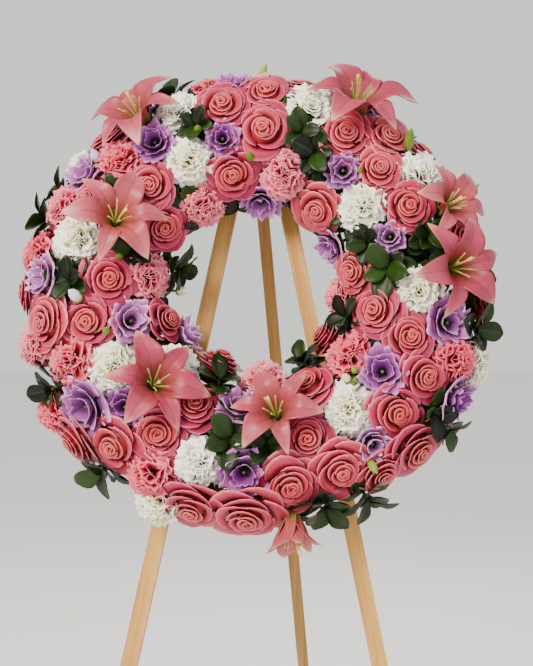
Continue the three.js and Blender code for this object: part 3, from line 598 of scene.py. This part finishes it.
NODES_OF = {kind: [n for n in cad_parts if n.startswith(kind + "_")] for kind in FLOWER_KINDS}
solid_points = {name: node_points(name) for names in NODES_OF.values() for name in names}
for number, item in enumerate(blooms):
    item["luck"], item["tone"] = partial(chance, number), chance(number, 1)
    item["axes"] = bloom_axes(item)
    item["room"] = 1 + EDGE_ROOM * max(0.0, float(item["face"] @ item["out"]) / RING_RADIUS) ** 2
    middle = lean_back(item["foot"] + item["out"] * item["height"] * BLOOM_MIDDLE)
    reach = {n: np.linalg.norm(solid_points[n] - middle, axis=1).min() for n in NODES_OF[item["kind"]]}
    item["node"] = min(reach, key=reach.get)


def grown_values(tree):
    """How far along the petal, how far out in the bloom, each bloom's own tone, and the place in the room."""
    return [add_node(tree, "ShaderNodeAttribute", {"attribute_name": name}, {}).outputs["Fac"]
            for name in ("along", "age", "tone")] + [own_place(tree)]


def petal_paint(name, outer, heart, other, roughness, vein_spacing, lightness):
    """Petal skin as ramps along the petal: for outer and heart petals, and a second hue for some blooms."""
    material, tree, shader = new_material(name)
    along, age, tone, place = grown_values(tree)
    outer_colour, heart_colour, other_colour = (
        colour_ramp(tree, along, stops) for stops in (outer, heart, other))
    petals = blend_colours(tree, reshape(tree, age, 0.1, 0.75), heart_colour, outer_colour)
    blooms_own = blend_colours(tree, reshape(tree, tone, 0.45, 0.95, 0.0, 0.85), petals, other_colour)
    mottle = noise(tree, place, MOTTLE_SPACING)
    light = reshape(tree, mottle, 0.3, 0.7, 0.86 * lightness, 1.04 * lightness)
    surface_bump(tree, shader, noise(tree, place, vein_spacing, 2.0), 0.25, 0.4 * MM)
    fill_sockets(tree, shader, {
        "Base Color": blend_colours(tree, 1.0, blooms_own, light, "MULTIPLY"), "Roughness": roughness,
        "Specular IOR Level": 0.35, "Sheen Weight": 0.05})
    return material


def leaf_paint(name, deep, fresh, pale, roughness):
    """Leaf skin: waxy, dark to fresh green by leaf and blotch, with a midrib where age is near nought."""
    material, tree, shader = new_material(name)
    along, age, tone, place = grown_values(tree)
    blotch = noise(tree, place, LEAF_BLOTCH_SPACING, 4.0)
    both = add_node(tree, "ShaderNodeMath", {"operation": "ADD"}, {0: tone, 1: blotch})
    body = blend_colours(tree, reshape(tree, both.outputs[0], 0.6, 1.5), linear(deep), linear(fresh))
    fill_sockets(tree, shader, {
        "Base Color": blend_colours(tree, reshape(tree, age, 0.02, 0.12, 0.6, 0.0), body, linear(pale)),
        "Roughness": reshape(tree, along, 0.0, 1.0, roughness + 0.08, roughness),
        "Specular IOR Level": 0.22})
    surface_bump(tree, shader, blotch, 0.3, 0.8 * MM)
    return material


# Stem skin: smooth, waxy, from dark to fresh green, paler along one line.
stem_green = leaf_paint("fresh_stem_skin", "#1e3410", "#46661e", "#5c7a30", 0.45)


def grow_stem(growth, item, top, radius=2.6):
    """The cut stem from inside the foam up to the bloom's base."""
    path = np.linspace((0, 0, -3), (0, 0, top), 5)
    growth.tube(set_in_ring(path, item), np.linspace(radius, radius * 1.3, 5), 7, STEM, 0.5, 0.4)


def grow_sepals(growth, item, radius, low, high):
    """The green cup and sepals under a bloom's petals."""
    v, u = petal_net(5, 4)
    for k in range(SEPALS):
        theta = k / SEPALS * 2 * math.pi + u * (0.62 * (1 - v ** 2.2) + 0.03)
        r = radius * (0.18 + 0.55 * v ** 0.8)
        grid = np.stack((r * np.cos(theta), r * np.sin(theta), low + (high - low) * v), axis=-1)
        growth.sheet(set_in_ring(grid, item), SEPAL_THICKNESS, STEM, v, np.abs(u), 0.45)


def dress(growth, name, node, paints):
    """The finished piece, with its paints, stands for its node and rides on the stand."""
    piece = growth.finish(name, paints)
    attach(piece, "stand")
    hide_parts(node)


def grow_clusters(kind, cluster, grow, skins):
    """One piece for each node of a kind, with all the blooms that the node carries."""
    for node in NODES_OF[kind]:
        growth = Growth()
        for item in blooms:
            if item["node"] == node:
                grow(growth, item)
        dress(growth, node.replace(kind, cluster), node, skins)


# Rose petal: velvety, raspberry pink outside and coral in the heart, with a pale thin rim. Each ramp starts
# near black at the petal's foot: painted shade in the folds.
rose_skin = petal_paint(
    "velvet_rose_petal",
    ((0.0, ROSE_PAINTED_CREVICE_SHADE), (0.3, "#5c031e"), (0.8, "#960c38"), (0.95, "#a81c46"), (1.0, "#e0648a")),
    ((0.0, ROSE_PAINTED_CREVICE_SHADE), (0.3, "#64040e"), (0.75, "#ac1a26"), (0.93, "#c02a34"), (1.0, "#f0847c")),
    ((0.0, "#540810"), (0.35, "#901024"), (0.8, "#b42440"), (0.95, "#c4364c"), (1.0, "#f08c90")),
    0.5, 1.1 * MM, 0.86)


def rose_petal(item, k, petal):
    """One rose petal as a grid: it rises from its inner neighbour, flares out and rolls back at the rim."""
    rim, throat, half, top, deep, roll, point = petal
    luck = item["luck"]
    v, u = petal_net(7, 9)
    reach = v * (1 - 0.16 * np.abs(u) ** 3)
    lip = np.clip((reach - 0.78) / 0.22, 0, 1)
    r = throat + (rim - throat) * reach ** 1.7
    r = r * (1 + 0.13 * u * v) + lip ** 1.3 * roll
    r = r + point * np.exp(-(u / 0.28) ** 2) * lip
    z = top - deep * (1 - reach) ** 1.15 - roll * 0.75 * lip ** 2.2
    swing = luck(k, 6) * RIPPLE_TURN
    z = z + 0.035 * rim * np.sin(u * 3.6 + swing) * v ** 2
    theta = k * GOLDEN_ANGLE + (luck(k, 2) - 0.5) * 0.7 + u * half * (0.82 + 0.18 * v)
    aside = 0.1 * item["reach"]
    x = r * np.cos(theta) + aside * (luck(k, 3) - 0.5)
    y = r * np.sin(theta) + aside * (luck(k, 4) - 0.5)
    return np.stack((x, y, z), axis=-1), v


def grow_rose(growth, item):
    """One rose on its stem: sepals, a bud under the petals, then the heart, middle and guard petals."""
    radius, height = item["reach"] * ROSE_SPREAD * item["room"], item["height"]
    luck, tone = item["luck"], item["tone"]
    tight = 0.82 + 0.3 * luck(9)
    grow_stem(growth, item, height * 0.4)
    grow_sepals(growth, item, radius * 0.8, height * 0.16, height * 0.5)
    bud = np.linspace(0, 1, 7)
    bud_path = np.stack((bud * 0, bud * 0, height * (0.3 + 0.62 * bud)), axis=-1)
    bud_radii = radius * np.array((0.2, 0.5, 0.58, 0.52, 0.4, 0.24, 0.05))
    growth.tube(set_in_ring(bud_path, item), bud_radii, 12, SKIN, 0.0, 0.0)
    # Each petal's rim and throat radius, half angle, top, depth, roll and point, then the share of its colour
    # ramp that its neighbours hide, and its age.
    petals = []
    for t in shares(ROSE_HEART):
        rim = radius * (0.06 + 0.43 * t ** 1.1) * tight
        petals.append((rim, max(rim - radius * 0.13, radius * 0.015), math.radians(96 - 24 * t),
                       height * (1.05 - 0.1 * t ** 2), height * (0.16 + 0.12 * t),
                       radius * (0.025 + 0.025 * t), radius * 0.015, 0.25, 0.45 * t))
    for t in shares(ROSE_MIDDLE):
        rim = radius * (0.58 + 0.16 * t)
        petals.append((rim, rim - radius * 0.24, math.radians(76 - 8 * t), height * (0.95 - 0.1 * t),
                       height * 0.42, radius * 0.08, radius * 0.05, 0.15, 0.5 + 0.2 * t))
    for k, t in enumerate(shares(ROSE_GUARD)):
        rim = radius * (0.84 + 0.1 * t + 0.05 * luck(k, 15))
        petals.append((rim, rim - radius * 0.5, math.radians(60 - 6 * t), height * (0.84 - 0.16 * t),
                       height * 0.52, radius * 0.13, radius * 0.1, 0.15, 0.78 + 0.22 * t))
    for k, (*petal, hidden, age) in enumerate(petals):
        grid, along = rose_petal(item, k, petal)
        along = along * (1 - hidden) + hidden
        growth.sheet(set_in_ring(grid, item), ROSE_PETAL_THICKNESS, SKIN, along, age, tone)


grow_clusters("roses", "rose_cluster", grow_rose, [rose_skin, stem_green])

# The carnations
# Cut carnations, white with a cream heart and clear pink. Thin fan-shaped petals, folded, with saw-toothed
# rims, burst as a rounded pompon from a long green calyx.
CARNATION_PETALS = 46
CARNATION_SPREAD = 1.2
CARNATION_PETAL_THICKNESS = 0.45
# Carnation petal: matt and papery, white or pink. Each ramp darkens towards the petal's foot as painted shade
# in the folds, over the white's own cream-green heart, and pales at the toothed rim as a painted highlight.
white_carnation_skin = petal_paint(
    "white_carnation_petal",
    ((0.0, "#a8a868"), (0.5, "#dcd8b8"), (0.85, "#f2efe0"), (1.0, "#fcfaf2")),
    ((0.0, "#a0a45c"), (0.5, "#dcdca8"), (0.85, "#eeecc8"), (1.0, "#faf8e4")),
    ((0.0, "#a8a868"), (0.5, "#e0dcc8"), (0.85, "#f4f0e6"), (1.0, "#fffdf8")), 0.6, 1.4 * MM, 1.0)
pink_carnation_skin = petal_paint(
    "pink_carnation_petal",
    ((0.0, "#6c0418"), (0.4, "#a60e32"), (0.8, "#d23058"), (1.0, "#f07088")),
    ((0.0, "#6c0414"), (0.4, "#a20c28"), (0.8, "#ce284a"), (1.0, "#ee647a")),
    ((0.0, "#64061e"), (0.4, "#a41c42"), (0.8, "#d04c6a"), (1.0, "#f4a0b0")), 0.6, 1.4 * MM, 0.92)


def grow_carnation(growth, item):
    """One carnation on its stem: a calyx, and folded petals from upright in the heart to level at the rim."""
    radius, height = item["reach"] * CARNATION_SPREAD * item["room"], item["height"]
    luck, tone = item["luck"], item["tone"]
    grow_stem(growth, item, height * 0.2, 2.2)
    cup = np.linspace(0, 1, 6)
    path = np.stack((cup * 0, cup * 0, height * (0.1 + 0.4 * cup)), axis=-1)
    growth.tube(set_in_ring(path, item), radius * (0.14 + 0.14 * np.sin(cup * 2.4)), 9, STEM, 0.5, 0.5)
    heart = np.array((0, 0, height * 0.4))
    columns = 13
    v, u = np.meshgrid((0.0, 0.45, 0.8, 1.0), np.linspace(-1, 1, columns), indexing="ij")
    tooth = 0.05 * np.where(np.arange(columns) % 2 == 0, 1, -1)[None, :] * v ** 5
    for k, t in enumerate(shares(CARNATION_PETALS)):
        climb = math.radians(90 - 90 * t ** 0.78)
        flat_ahead, flat_side = spokes(k * GOLDEN_ANGLE + luck(k, 2) * 0.6)
        ahead = flat_ahead * math.cos(climb) + np.array((0, 0, math.sin(climb)))
        twist = (luck(k, 5) - 0.5) * 2.8 * (1 - t)
        flat_front = np.cross(ahead, flat_side)
        side = flat_side * math.cos(twist) + flat_front * math.sin(twist)
        front = np.cross(ahead, side)
        length = 1 / math.sqrt((math.cos(climb) / radius) ** 2 + (math.sin(climb) / (height * 0.7)) ** 2)
        length *= 0.88 + 0.16 * luck(k, 3)
        run = length * (0.1 + 0.9 * v) * (1 - 0.08 * np.abs(u) ** 2 + tooth)
        fan = np.radians(6 + (34 + 14 * t) * v ** 1.1) * u
        swing = luck(k, 4) * RIPPLE_TURN
        ruffle = length * v ** 1.7 * (
            0.13 * np.sin(u * 5.2 + swing) + 0.05 * np.sin(u * 13 + swing * 2))
        curl = -length * 0.14 * v ** 3 * (0.2 + t)
        grid = heart + (run * np.cos(fan))[..., None] * ahead + (run * np.sin(fan))[..., None] * side
        grid = grid + (ruffle + curl)[..., None] * front
        growth.sheet(set_in_ring(grid, item), CARNATION_PETAL_THICKNESS, SKIN, v, t, tone)


for colour, skin in (("white", white_carnation_skin), ("pink", pink_carnation_skin)):
    grow_clusters(colour + "_carnations", colour + "_carnation_cluster", grow_carnation,
                  [skin, stem_green])

# The lisianthus
# Double lisianthus in lilac, some with paler rims: broad, thin, satiny petals in three ruffled whorls round a
# dark throat with a small green pistil, over narrow sepals.
# Each whorl's petals, its reach and height as shares of the bloom's, and how far it opens.
LISIANTHUS_WHORLS = ((4, 0.4, 0.96, 0.5), (5, 0.7, 0.98, 0.75), (6, 0.98, 0.86, 1.0))
LISIANTHUS_SPREAD = 1.12
LISIANTHUS_PETAL_THICKNESS = 0.5
LISIANTHUS_THROAT = 0.26
# Lisianthus petal: satiny and thin, lilac, some blooms with nearly white rims. Each ramp runs to near black
# at the petal's foot: the throat's own dark plum, deepened by painted shade.
lisianthus_skin = petal_paint(
    "satin_lisianthus_petal",
    ((0.0, "#1e0420"), (0.3, "#843488"), (0.85, "#b062ae"), (1.0, "#dca2da")),
    ((0.0, "#18031c"), (0.3, "#64206e"), (0.85, "#8e3c92"), (1.0, "#c07cc2")),
    ((0.0, "#2c0a34"), (0.3, "#a0549e"), (0.85, "#c486c2"), (1.0, "#ecc6e8")), 0.48, 1.25 * MM, 0.95)


def grow_lisianthus(growth, item):
    """One lisianthus on its stem: sepals, a pistil, and three whorls of petals that cup less and less."""
    radius, height = item["reach"] * LISIANTHUS_SPREAD * item["room"], item["height"]
    luck, tone = item["luck"], item["tone"]
    grow_stem(growth, item, height * 0.3, 2.0)
    grow_sepals(growth, item, radius * 0.7, height * 0.14, height * 0.46)
    pistil = np.stack((np.zeros(5), np.zeros(5), np.linspace(height * 0.4, height * 0.72, 5)), axis=-1)
    growth.tube(set_in_ring(pistil, item), (1.6, 1.3, 1.1, 1.9, 2.2), 6, STEM, 0.0, 0.9)
    v, u = petal_net(8, 13)
    number = 0
    for whorl, (petals, wide, tall, openness) in enumerate(LISIANTHUS_WHORLS):
        for k in range(petals):
            number += 1
            theta = k / petals * 2 * math.pi + whorl * 0.7 + luck(number, 2) * 0.5
            half = math.radians(58 - 8 * whorl)
            up = v * (1 - 0.16 * np.abs(u) ** 2.4)
            theta = theta + u * half * (0.4 + 0.6 * np.sin(v * math.pi / 2))
            swing = luck(number, 3) * RIPPLE_TURN
            wave = np.sin(u * 4.4 + swing) + 0.7 * np.sin(u * 9.5 + swing * 1.7) + 0.4 * np.sin(v * 9 + u * 4)
            wave = wave * v ** 1.8
            long = 0.88 + 0.2 * luck(number, 5)
            cupped = np.sin(np.clip(up, 0, 1) * math.pi / 2) ** (0.7 + 0.4 * openness)
            r = radius * wide * long * (cupped + 0.1 * wave) + 1
            top = tall * (0.94 + 0.1 * luck(number, 4))
            z = height * (LISIANTHUS_THROAT + (top - LISIANTHUS_THROAT) * (1 - (1 - up) ** 1.6))
            z = z + wave * 2.6 - height * 0.14 * openness * up ** 5 * whorl / 2
            grid = np.stack((r * np.cos(theta), r * np.sin(theta), z), axis=-1)
            growth.sheet(
                set_in_ring(grid, item), LISIANTHUS_PETAL_THICKNESS, SKIN, v, whorl / 2, tone)


grow_clusters("lisianthus", "lisianthus_cluster", grow_lisianthus,
              [lisianthus_skin, stem_green])

# The lilies
# Dusty pink lilies, the largest blooms: three broad tepals over three narrower ones, arched back at the tip,
# each with a grooved midrib, round a green throat with six filaments and a pistil, on a nodding stem.
LILY_LIFT = 9
LILY_TEPALS, LILY_TEPAL_THICKNESS = 6, 0.9
LILY_THROAT = 0.58
# How far each head nods from its stem's line, to the right and upwards, and whether it is still half shut.
LILY_NODS = (
    (-0.1, 0.1, 0), (0.25, 0.3, 0), (0.1, 0.0, 0), (0.0, -0.1, 0),
    (-0.1, 0.1, 0), (0.1, 0.0, 0), (0.1, -0.1, 0), (0.05, -0.9, 1))
FILAMENT, STIGMA = 2, 3
LILY_VEIN_SPACING = 3.8 * MM


def lily_tepal(name):
    """Waxy dusty pink with a grooved dark midrib, a green throat and cream-green tips."""
    material, tree, shader = new_material(name)
    along, across, tone, place = grown_values(tree)
    body = colour_ramp(tree, along, (
        (0.0, "#24340a"), (0.08, "#66701c"), (0.17, "#94403c"),
        (0.5, "#9c2c46"), (0.84, "#ac4258"), (1.0, "#d09a80")))
    pale = colour_ramp(tree, along, (
        (0.0, "#2c400c"), (0.1, "#6e7828"), (0.2, "#a84c48"),
        (0.6, "#b44e5a"), (0.88, "#c46e70"), (1.0, "#d4b088")))
    hue = blend_colours(tree, reshape(tree, tone, 0.3, 1.0), body, pale)
    rib = reshape(tree, across, 0.02, 0.12, 0.45, 0.0)
    ribbed = blend_colours(tree, rib, hue, linear("#7c1c34"))
    veins = noise(tree, place, LILY_VEIN_SPACING, 3.0, 0.6)
    light = reshape(tree, veins, 0.3, 0.7, 0.78, 0.92)
    fill_sockets(tree, shader, {
        "Base Color": blend_colours(tree, 1.0, ribbed, light, "MULTIPLY"),
        "Roughness": 0.42, "Specular IOR Level": 0.4})
    surface_bump(tree, shader, veins, 0.3, 0.5 * MM)
    return material


# Lily tepal: waxy, with soft highlights, fine veins along it and a paler hue on some blooms.
lily_skin = lily_tepal("waxy_lily_tepal")
# Filaments and stigma: smooth, fleshy, green-yellow to cream.
filament_skin = leaf_paint("lily_filament_skin", "#8f9440", "#c8bc6c", "#d8cc84", 0.45)
stigma_skin = leaf_paint("lily_stigma_skin", "#b0a040", "#e0cc60", "#ecdc7c", 0.5)
for item, nod in zip((item for item in blooms if item["kind"] == "lily"), LILY_NODS):
    item["nod"] = nod


def grow_lily(growth, item):
    """One lily: its stem, and on the nodding neck the tepals, filaments and pistil."""
    radius = item["width"] * MM_PER_PIXEL / 2
    height = item["height"]
    lift = height + LILY_LIFT
    luck, tone = item["luck"], item["tone"]
    throat = height * LILY_THROAT
    grow_stem(growth, item, throat, 3.0)
    aside, up, shut = item["nod"]
    facing = item["out"] + np.array((aside, 0, up))
    facing = facing / np.linalg.norm(facing)
    neck = item["foot"] + item["out"] * throat
    head = dict(item, out=facing, foot=neck - facing * throat)
    head["axes"] = bloom_axes(head)
    v, u = petal_net(17, 11)
    for k in range(LILY_TEPALS):
        broad = k % 2 == 0
        ahead, side = spokes(k / LILY_TEPALS * 2 * math.pi)
        reach = radius * ((1.0 if broad else 0.95) + 0.08 * (luck(k, 8) - 0.5))
        reach = reach * (1 - 0.38 * shut)
        r = 2.5 + (reach - 2.5) * v ** 1.12
        rise = v if shut else np.sin(np.clip(v * 1.7, 0, 1) * math.pi / 2)
        z = throat + (lift + radius * 0.1 - throat) * rise + radius * 0.2 * shut * v
        curl = (0.02 + 0.16 * luck(k, 9)) * (1 - shut)
        z = z + radius * (0.1 * np.sin(v * math.pi) - curl * v ** 4) - (0 if broad else 2.5)
        half = radius * (0.28 if broad else 0.2) * (1 - v) ** 0.95 * (0.36 + 1.5 * v) / 0.6
        half = np.maximum(half, 0.25)
        dish = half * 0.3 * np.abs(u) ** 1.6 * np.sin(v * math.pi) - 1.1 * np.exp(-(u / 0.12) ** 2) * (1 - v)
        swing = luck(k, 3) * RIPPLE_TURN
        wave = 1.8 * np.sin(v * 10 + u * 2 + swing) * np.abs(u) ** 2 * np.sin(v * math.pi)
        bend = (luck(k, 5) - 0.5) * radius * 0.2 * v ** 2
        grid = (r[..., None] * ahead + (u * half + bend)[..., None] * side
                + (z + dish + wave)[..., None] * np.array((0, 0, 1.0)))
        growth.sheet(set_in_ring(grid, head), LILY_TEPAL_THICKNESS, SKIN, v, np.abs(u), tone)
    v = np.linspace(0, 1, 9)
    for k in range(LILY_TEPALS + 1):
        middle = k == LILY_TEPALS
        theta = (k + 0.5) / LILY_TEPALS * 2 * math.pi
        reach = radius * (0.1 if middle else 0.17 + 0.06 * luck(k, 11))
        tall = throat - 2 + (lift - throat + radius * (0.42 if middle else 0.26)) * v ** 0.9
        out = 1.5 + reach * v ** 1.5
        path = np.stack((out * math.cos(theta), out * math.sin(theta), tall), axis=-1)
        if middle:
            knobbed = (1.3, 1.2, 1.2, 1.1, 1.1, 1.1, 1.3, 2.1, 2.3)
            growth.tube(set_in_ring(path, head), knobbed, 7, STIGMA, 0.5, tone)
        else:
            growth.tube(set_in_ring(path, head), np.linspace(1.2, 0.9, 9), 6, FILAMENT, 0.5, tone)


grow_clusters("lily", "lily_bloom", grow_lily,
              [lily_skin, stem_green, filament_skin, stigma_skin])

# The leaves and buds
# Glossy dark pittosporum leaves: rosettes between the blooms, single leaves low in every gap to hide the
# foam, and a fringe round both edges. Lisianthus and lily buds stand among them, each on its own stem.
LEAF_THICKNESS, LEAF_SLIMNESS, LEAF_FOLD = 0.6, 0.34, 0.3
TUFT_LEAVES, SHORTEST_TUFT_LEAF = 8, 30
# The net of gap leaves: one step round the ring, and the places across it from the inner to the outer edge.
GAP_STEP = math.radians(7.5)
GAP_SIDES = (-0.9, -0.62, -0.34, -0.08, 0.18, 0.44, 0.7, 0.95)
# Each edge's fringe: its side of the ring, its leaves in one of two layers, and their length.
FRINGES = ((1, 56, 34), (-1, 30, 24))
# Across and down in the photograph's pixels, the bud's length and width in millimetres, and its skin.
BUDS = (
    (262, 68, 26, 11, "green"), (405, 158, 46, 13, "green"), (465, 208, 36, 11, "green"),
    (375, 465, 34, 11, "green"), (345, 385, 17, 11, "white"), (352, 378, 12, 8, "green"),
    (350, 394, 12, 8, "green"), (253, 183, 18, 11, "green"), (130, 280, 15, 10, "green"),
    (108, 337, 15, 10, "green"), (205, 300, 20, 12, "white"), (93, 313, 24, 15, "mauve"),
    (96, 180, 20, 13, "mauve"), (204, 150, 15, 10, "green"), (350, 191, 10, 8, "green"),
)
# Leaf skin: leathery and glossy, each leaf its own green, with a paler midrib. Its greens are deepened to
# near black, painted shade for the gaps between the blooms. Bud skins have less gloss.
leaf_skin = leaf_paint("glossy_leaf_skin", "#030801", "#1c3402", "#243a05", 0.4)
green_bud_skin = leaf_paint("green_bud_skin", "#5a7420", "#8ca040", "#4c681c", 0.45)
white_bud_skin = leaf_paint("white_bud_skin", "#d8d8b4", "#f0ecdc", "#b4c080", 0.5)
mauve_bud_skin = leaf_paint("mauve_bud_skin", "#b49cc8", "#dccce8", "#9c80b8", 0.5)
LEAF_PAINTS = [leaf_skin, stem_green, green_bud_skin, white_bud_skin, mauve_bud_skin]
BUD_PAINTS = {"green": 2, "white": 3, "mauve": 4}
leaf_growths = {node: Growth() for node in NODES_OF["foliage"]}
tufts = [item for item in blooms if item["kind"] == "foliage"]


def leaves_of(place):
    """The growth of the nearest tuft's piece, which carries a loose leaf."""
    nearest = min(tufts, key=lambda item: np.linalg.norm(item["face"] - place))
    return leaf_growths[nearest["node"]]


def grow_leaf(growth, start, ahead, front, length, droop, tone):
    """One ovate leaf from its stalk: folded along the midrib, drooping to a blunt point."""
    ahead = ahead / np.linalg.norm(ahead)
    side = np.cross(front, ahead)
    side = side / np.linalg.norm(side)
    front = np.cross(ahead, side)
    v, u = petal_net(8, 5)
    outline = np.clip(np.sin(np.clip(v * 0.97 + 0.02, 0, 1) ** 1.25 * math.pi), 0.02, 1) ** 0.62
    half = length * LEAF_SLIMNESS * outline
    lift = LEAF_FOLD * half * np.abs(u) ** 1.3 - droop * length * v ** 2.2
    lift = lift + 0.5 * np.sin(v * 13) * np.abs(u)
    grid = start + (length * v)[..., None] * ahead + (u * half)[..., None] * side + lift[..., None] * front
    growth.sheet(grid, LEAF_THICKNESS, SKIN, v, np.abs(u), tone)


def grow_tuft(growth, item):
    """A rosette of leaves up its stem, from nearly level at the foot to upright at the top."""
    height = item["height"]
    length = max(SHORTEST_TUFT_LEAF, item["reach"] * 1.7)
    luck = item["luck"]
    x_axis, y_axis, out = item["axes"]
    grow_stem(growth, item, height * 0.74, 1.8)
    for k, t in enumerate(shares(TUFT_LEAVES)):
        theta = k * GOLDEN_ANGLE + luck(k, 2) * 0.7
        climb = math.radians(4 + 42 * t)
        flat = x_axis * math.cos(theta) + y_axis * math.sin(theta)
        ahead = flat * math.cos(climb) + out * math.sin(climb)
        start = item["foot"] + out * height * (0.52 + 0.035 * k)
        grow_leaf(growth, start, ahead, out, length * (0.8 + 0.35 * luck(k, 4)), 0.16, luck(k, 7))


def grow_gap_leaves():
    """Low leaves in a regular net over the whole ring, turned by rule, so that no foam shows."""
    steps = round(2 * math.pi / GAP_STEP)
    for i in range(steps):
        for j, sideways in enumerate(GAP_SIDES):
            angle = (i + 0.5 * (j % 2) + 0.4 * (chance(i, j, 1) - 0.5)) * GAP_STEP
            radial = (math.cos(angle), 0, math.sin(angle))
            face, foot, out, height = place_on_ring(radial, sideways)
            along_ring = np.array((-radial[2], 0, radial[0]))
            across_ring = np.cross(out, along_ring)
            theta = chance(i, j, 2) * 2 * math.pi
            flat = along_ring * math.cos(theta) + across_ring * math.sin(theta)
            climb = math.radians(12 + 22 * chance(i, j, 3))
            start = foot + out * height * (0.2 + 0.2 * chance(i, j, 4)) - flat * 14
            grow_leaf(leaves_of(face), start, flat * math.cos(climb) + out * math.sin(climb), out,
                      30 + 9 * chance(i, j, 5), 0.12, chance(i, j, 6))


def grow_fringe():
    """Leaves that stand out of the ring's outer and inner edges and a little to the back."""
    behind = np.array((0, 1.0, 0))
    for edge, count, size in FRINGES:
        for i in range(count):
            for layer in range(2):
                angle = (i + 0.5 * layer + 0.5 * (chance(i, layer, 21) - 0.5)) / count * 2 * math.pi
                radial = (math.cos(angle), 0, math.sin(angle))
                face, foot, out, _ = place_on_ring(radial, edge * 0.97)
                outward = np.array(radial) * edge
                along_ring = np.array((-radial[2], 0, radial[0]))
                sway = (chance(i, layer, 22) - 0.5) * 1.3
                ahead = outward * 0.6 + along_ring * sway * 1.5 + behind * (0.4 + 0.5 * layer)
                front = out - behind * 0.4
                start = foot - outward * 14 + behind * (4 + 12 * layer)
                length = size * (0.85 + 0.3 * chance(i, layer, 23))
                grow_leaf(leaves_of(face), start, ahead, front / np.linalg.norm(front), length,
                          0.1, chance(i, layer, 24))


def nearest_gap(x, y):
    """A bud's spot moved off the open blooms that it would stand on."""
    open_blooms = [item for item in blooms if item["kind"] not in ("foliage", "lily")]
    for _ in range(40):
        for item in open_blooms:
            dx, dy = x - item["x"], y - item["y"]
            apart = max(math.hypot(dx, dy), 1.0)
            clear = item["reach"] / MM_PER_PIXEL * 0.95 + 2
            if apart < clear:
                x += dx / apart * (clear - apart) * 0.5
                y += dy / apart * (clear - apart) * 0.5
    return x, y


def grow_bud(x, y, length, width, skin):
    """A bud on its stem: a pointed spindle, and a coloured one has a green cup at its foot."""
    face, foot, out, height = place_spot(x, y)
    growth = leaves_of(face)
    aside = np.array((chance(x, y, 1) - 0.5, -0.25, chance(x, y, 2) - 0.2)) * 0.9
    ahead = out + aside
    ahead = ahead / np.linalg.norm(ahead)
    base = foot + out * height * 0.75
    growth.tube(np.linspace(foot - out * 3, base + ahead, 6), np.linspace(1.4, 1.7, 6), 6, STEM, 0.5, 0.5)
    v = np.linspace(0, 1, 11)
    path = base + (length * v)[:, None] * ahead
    radii = width / 2 * np.clip(np.sin(np.clip(v ** 0.8 * 0.97 + 0.03, 0, 1) * math.pi), 0.06, 1) ** 0.7
    growth.tube(path, radii, 9, BUD_PAINTS[skin], 0.5, chance(x, y, 3))
    if skin != "green":
        cup = base + (length * 0.42 * v[:6])[:, None] * ahead * 1.2
        cup_radii = width / 2 * np.array((0.35, 0.8, 0.98, 1.06, 1.0, 0.7))
        growth.tube(cup, cup_radii, 9, BUD_PAINTS["green"], 0.5, 0.3)


for item in tufts:
    grow_tuft(leaf_growths[item["node"]], item)
grow_gap_leaves()
grow_fringe()
for x, y, length, width, skin in BUDS:
    grow_bud(*nearest_gap(x, y), length, width, skin)
for node, growth in leaf_growths.items():
    dress(growth, node.replace("foliage", "leaf_tufts"), node, LEAF_PAINTS)
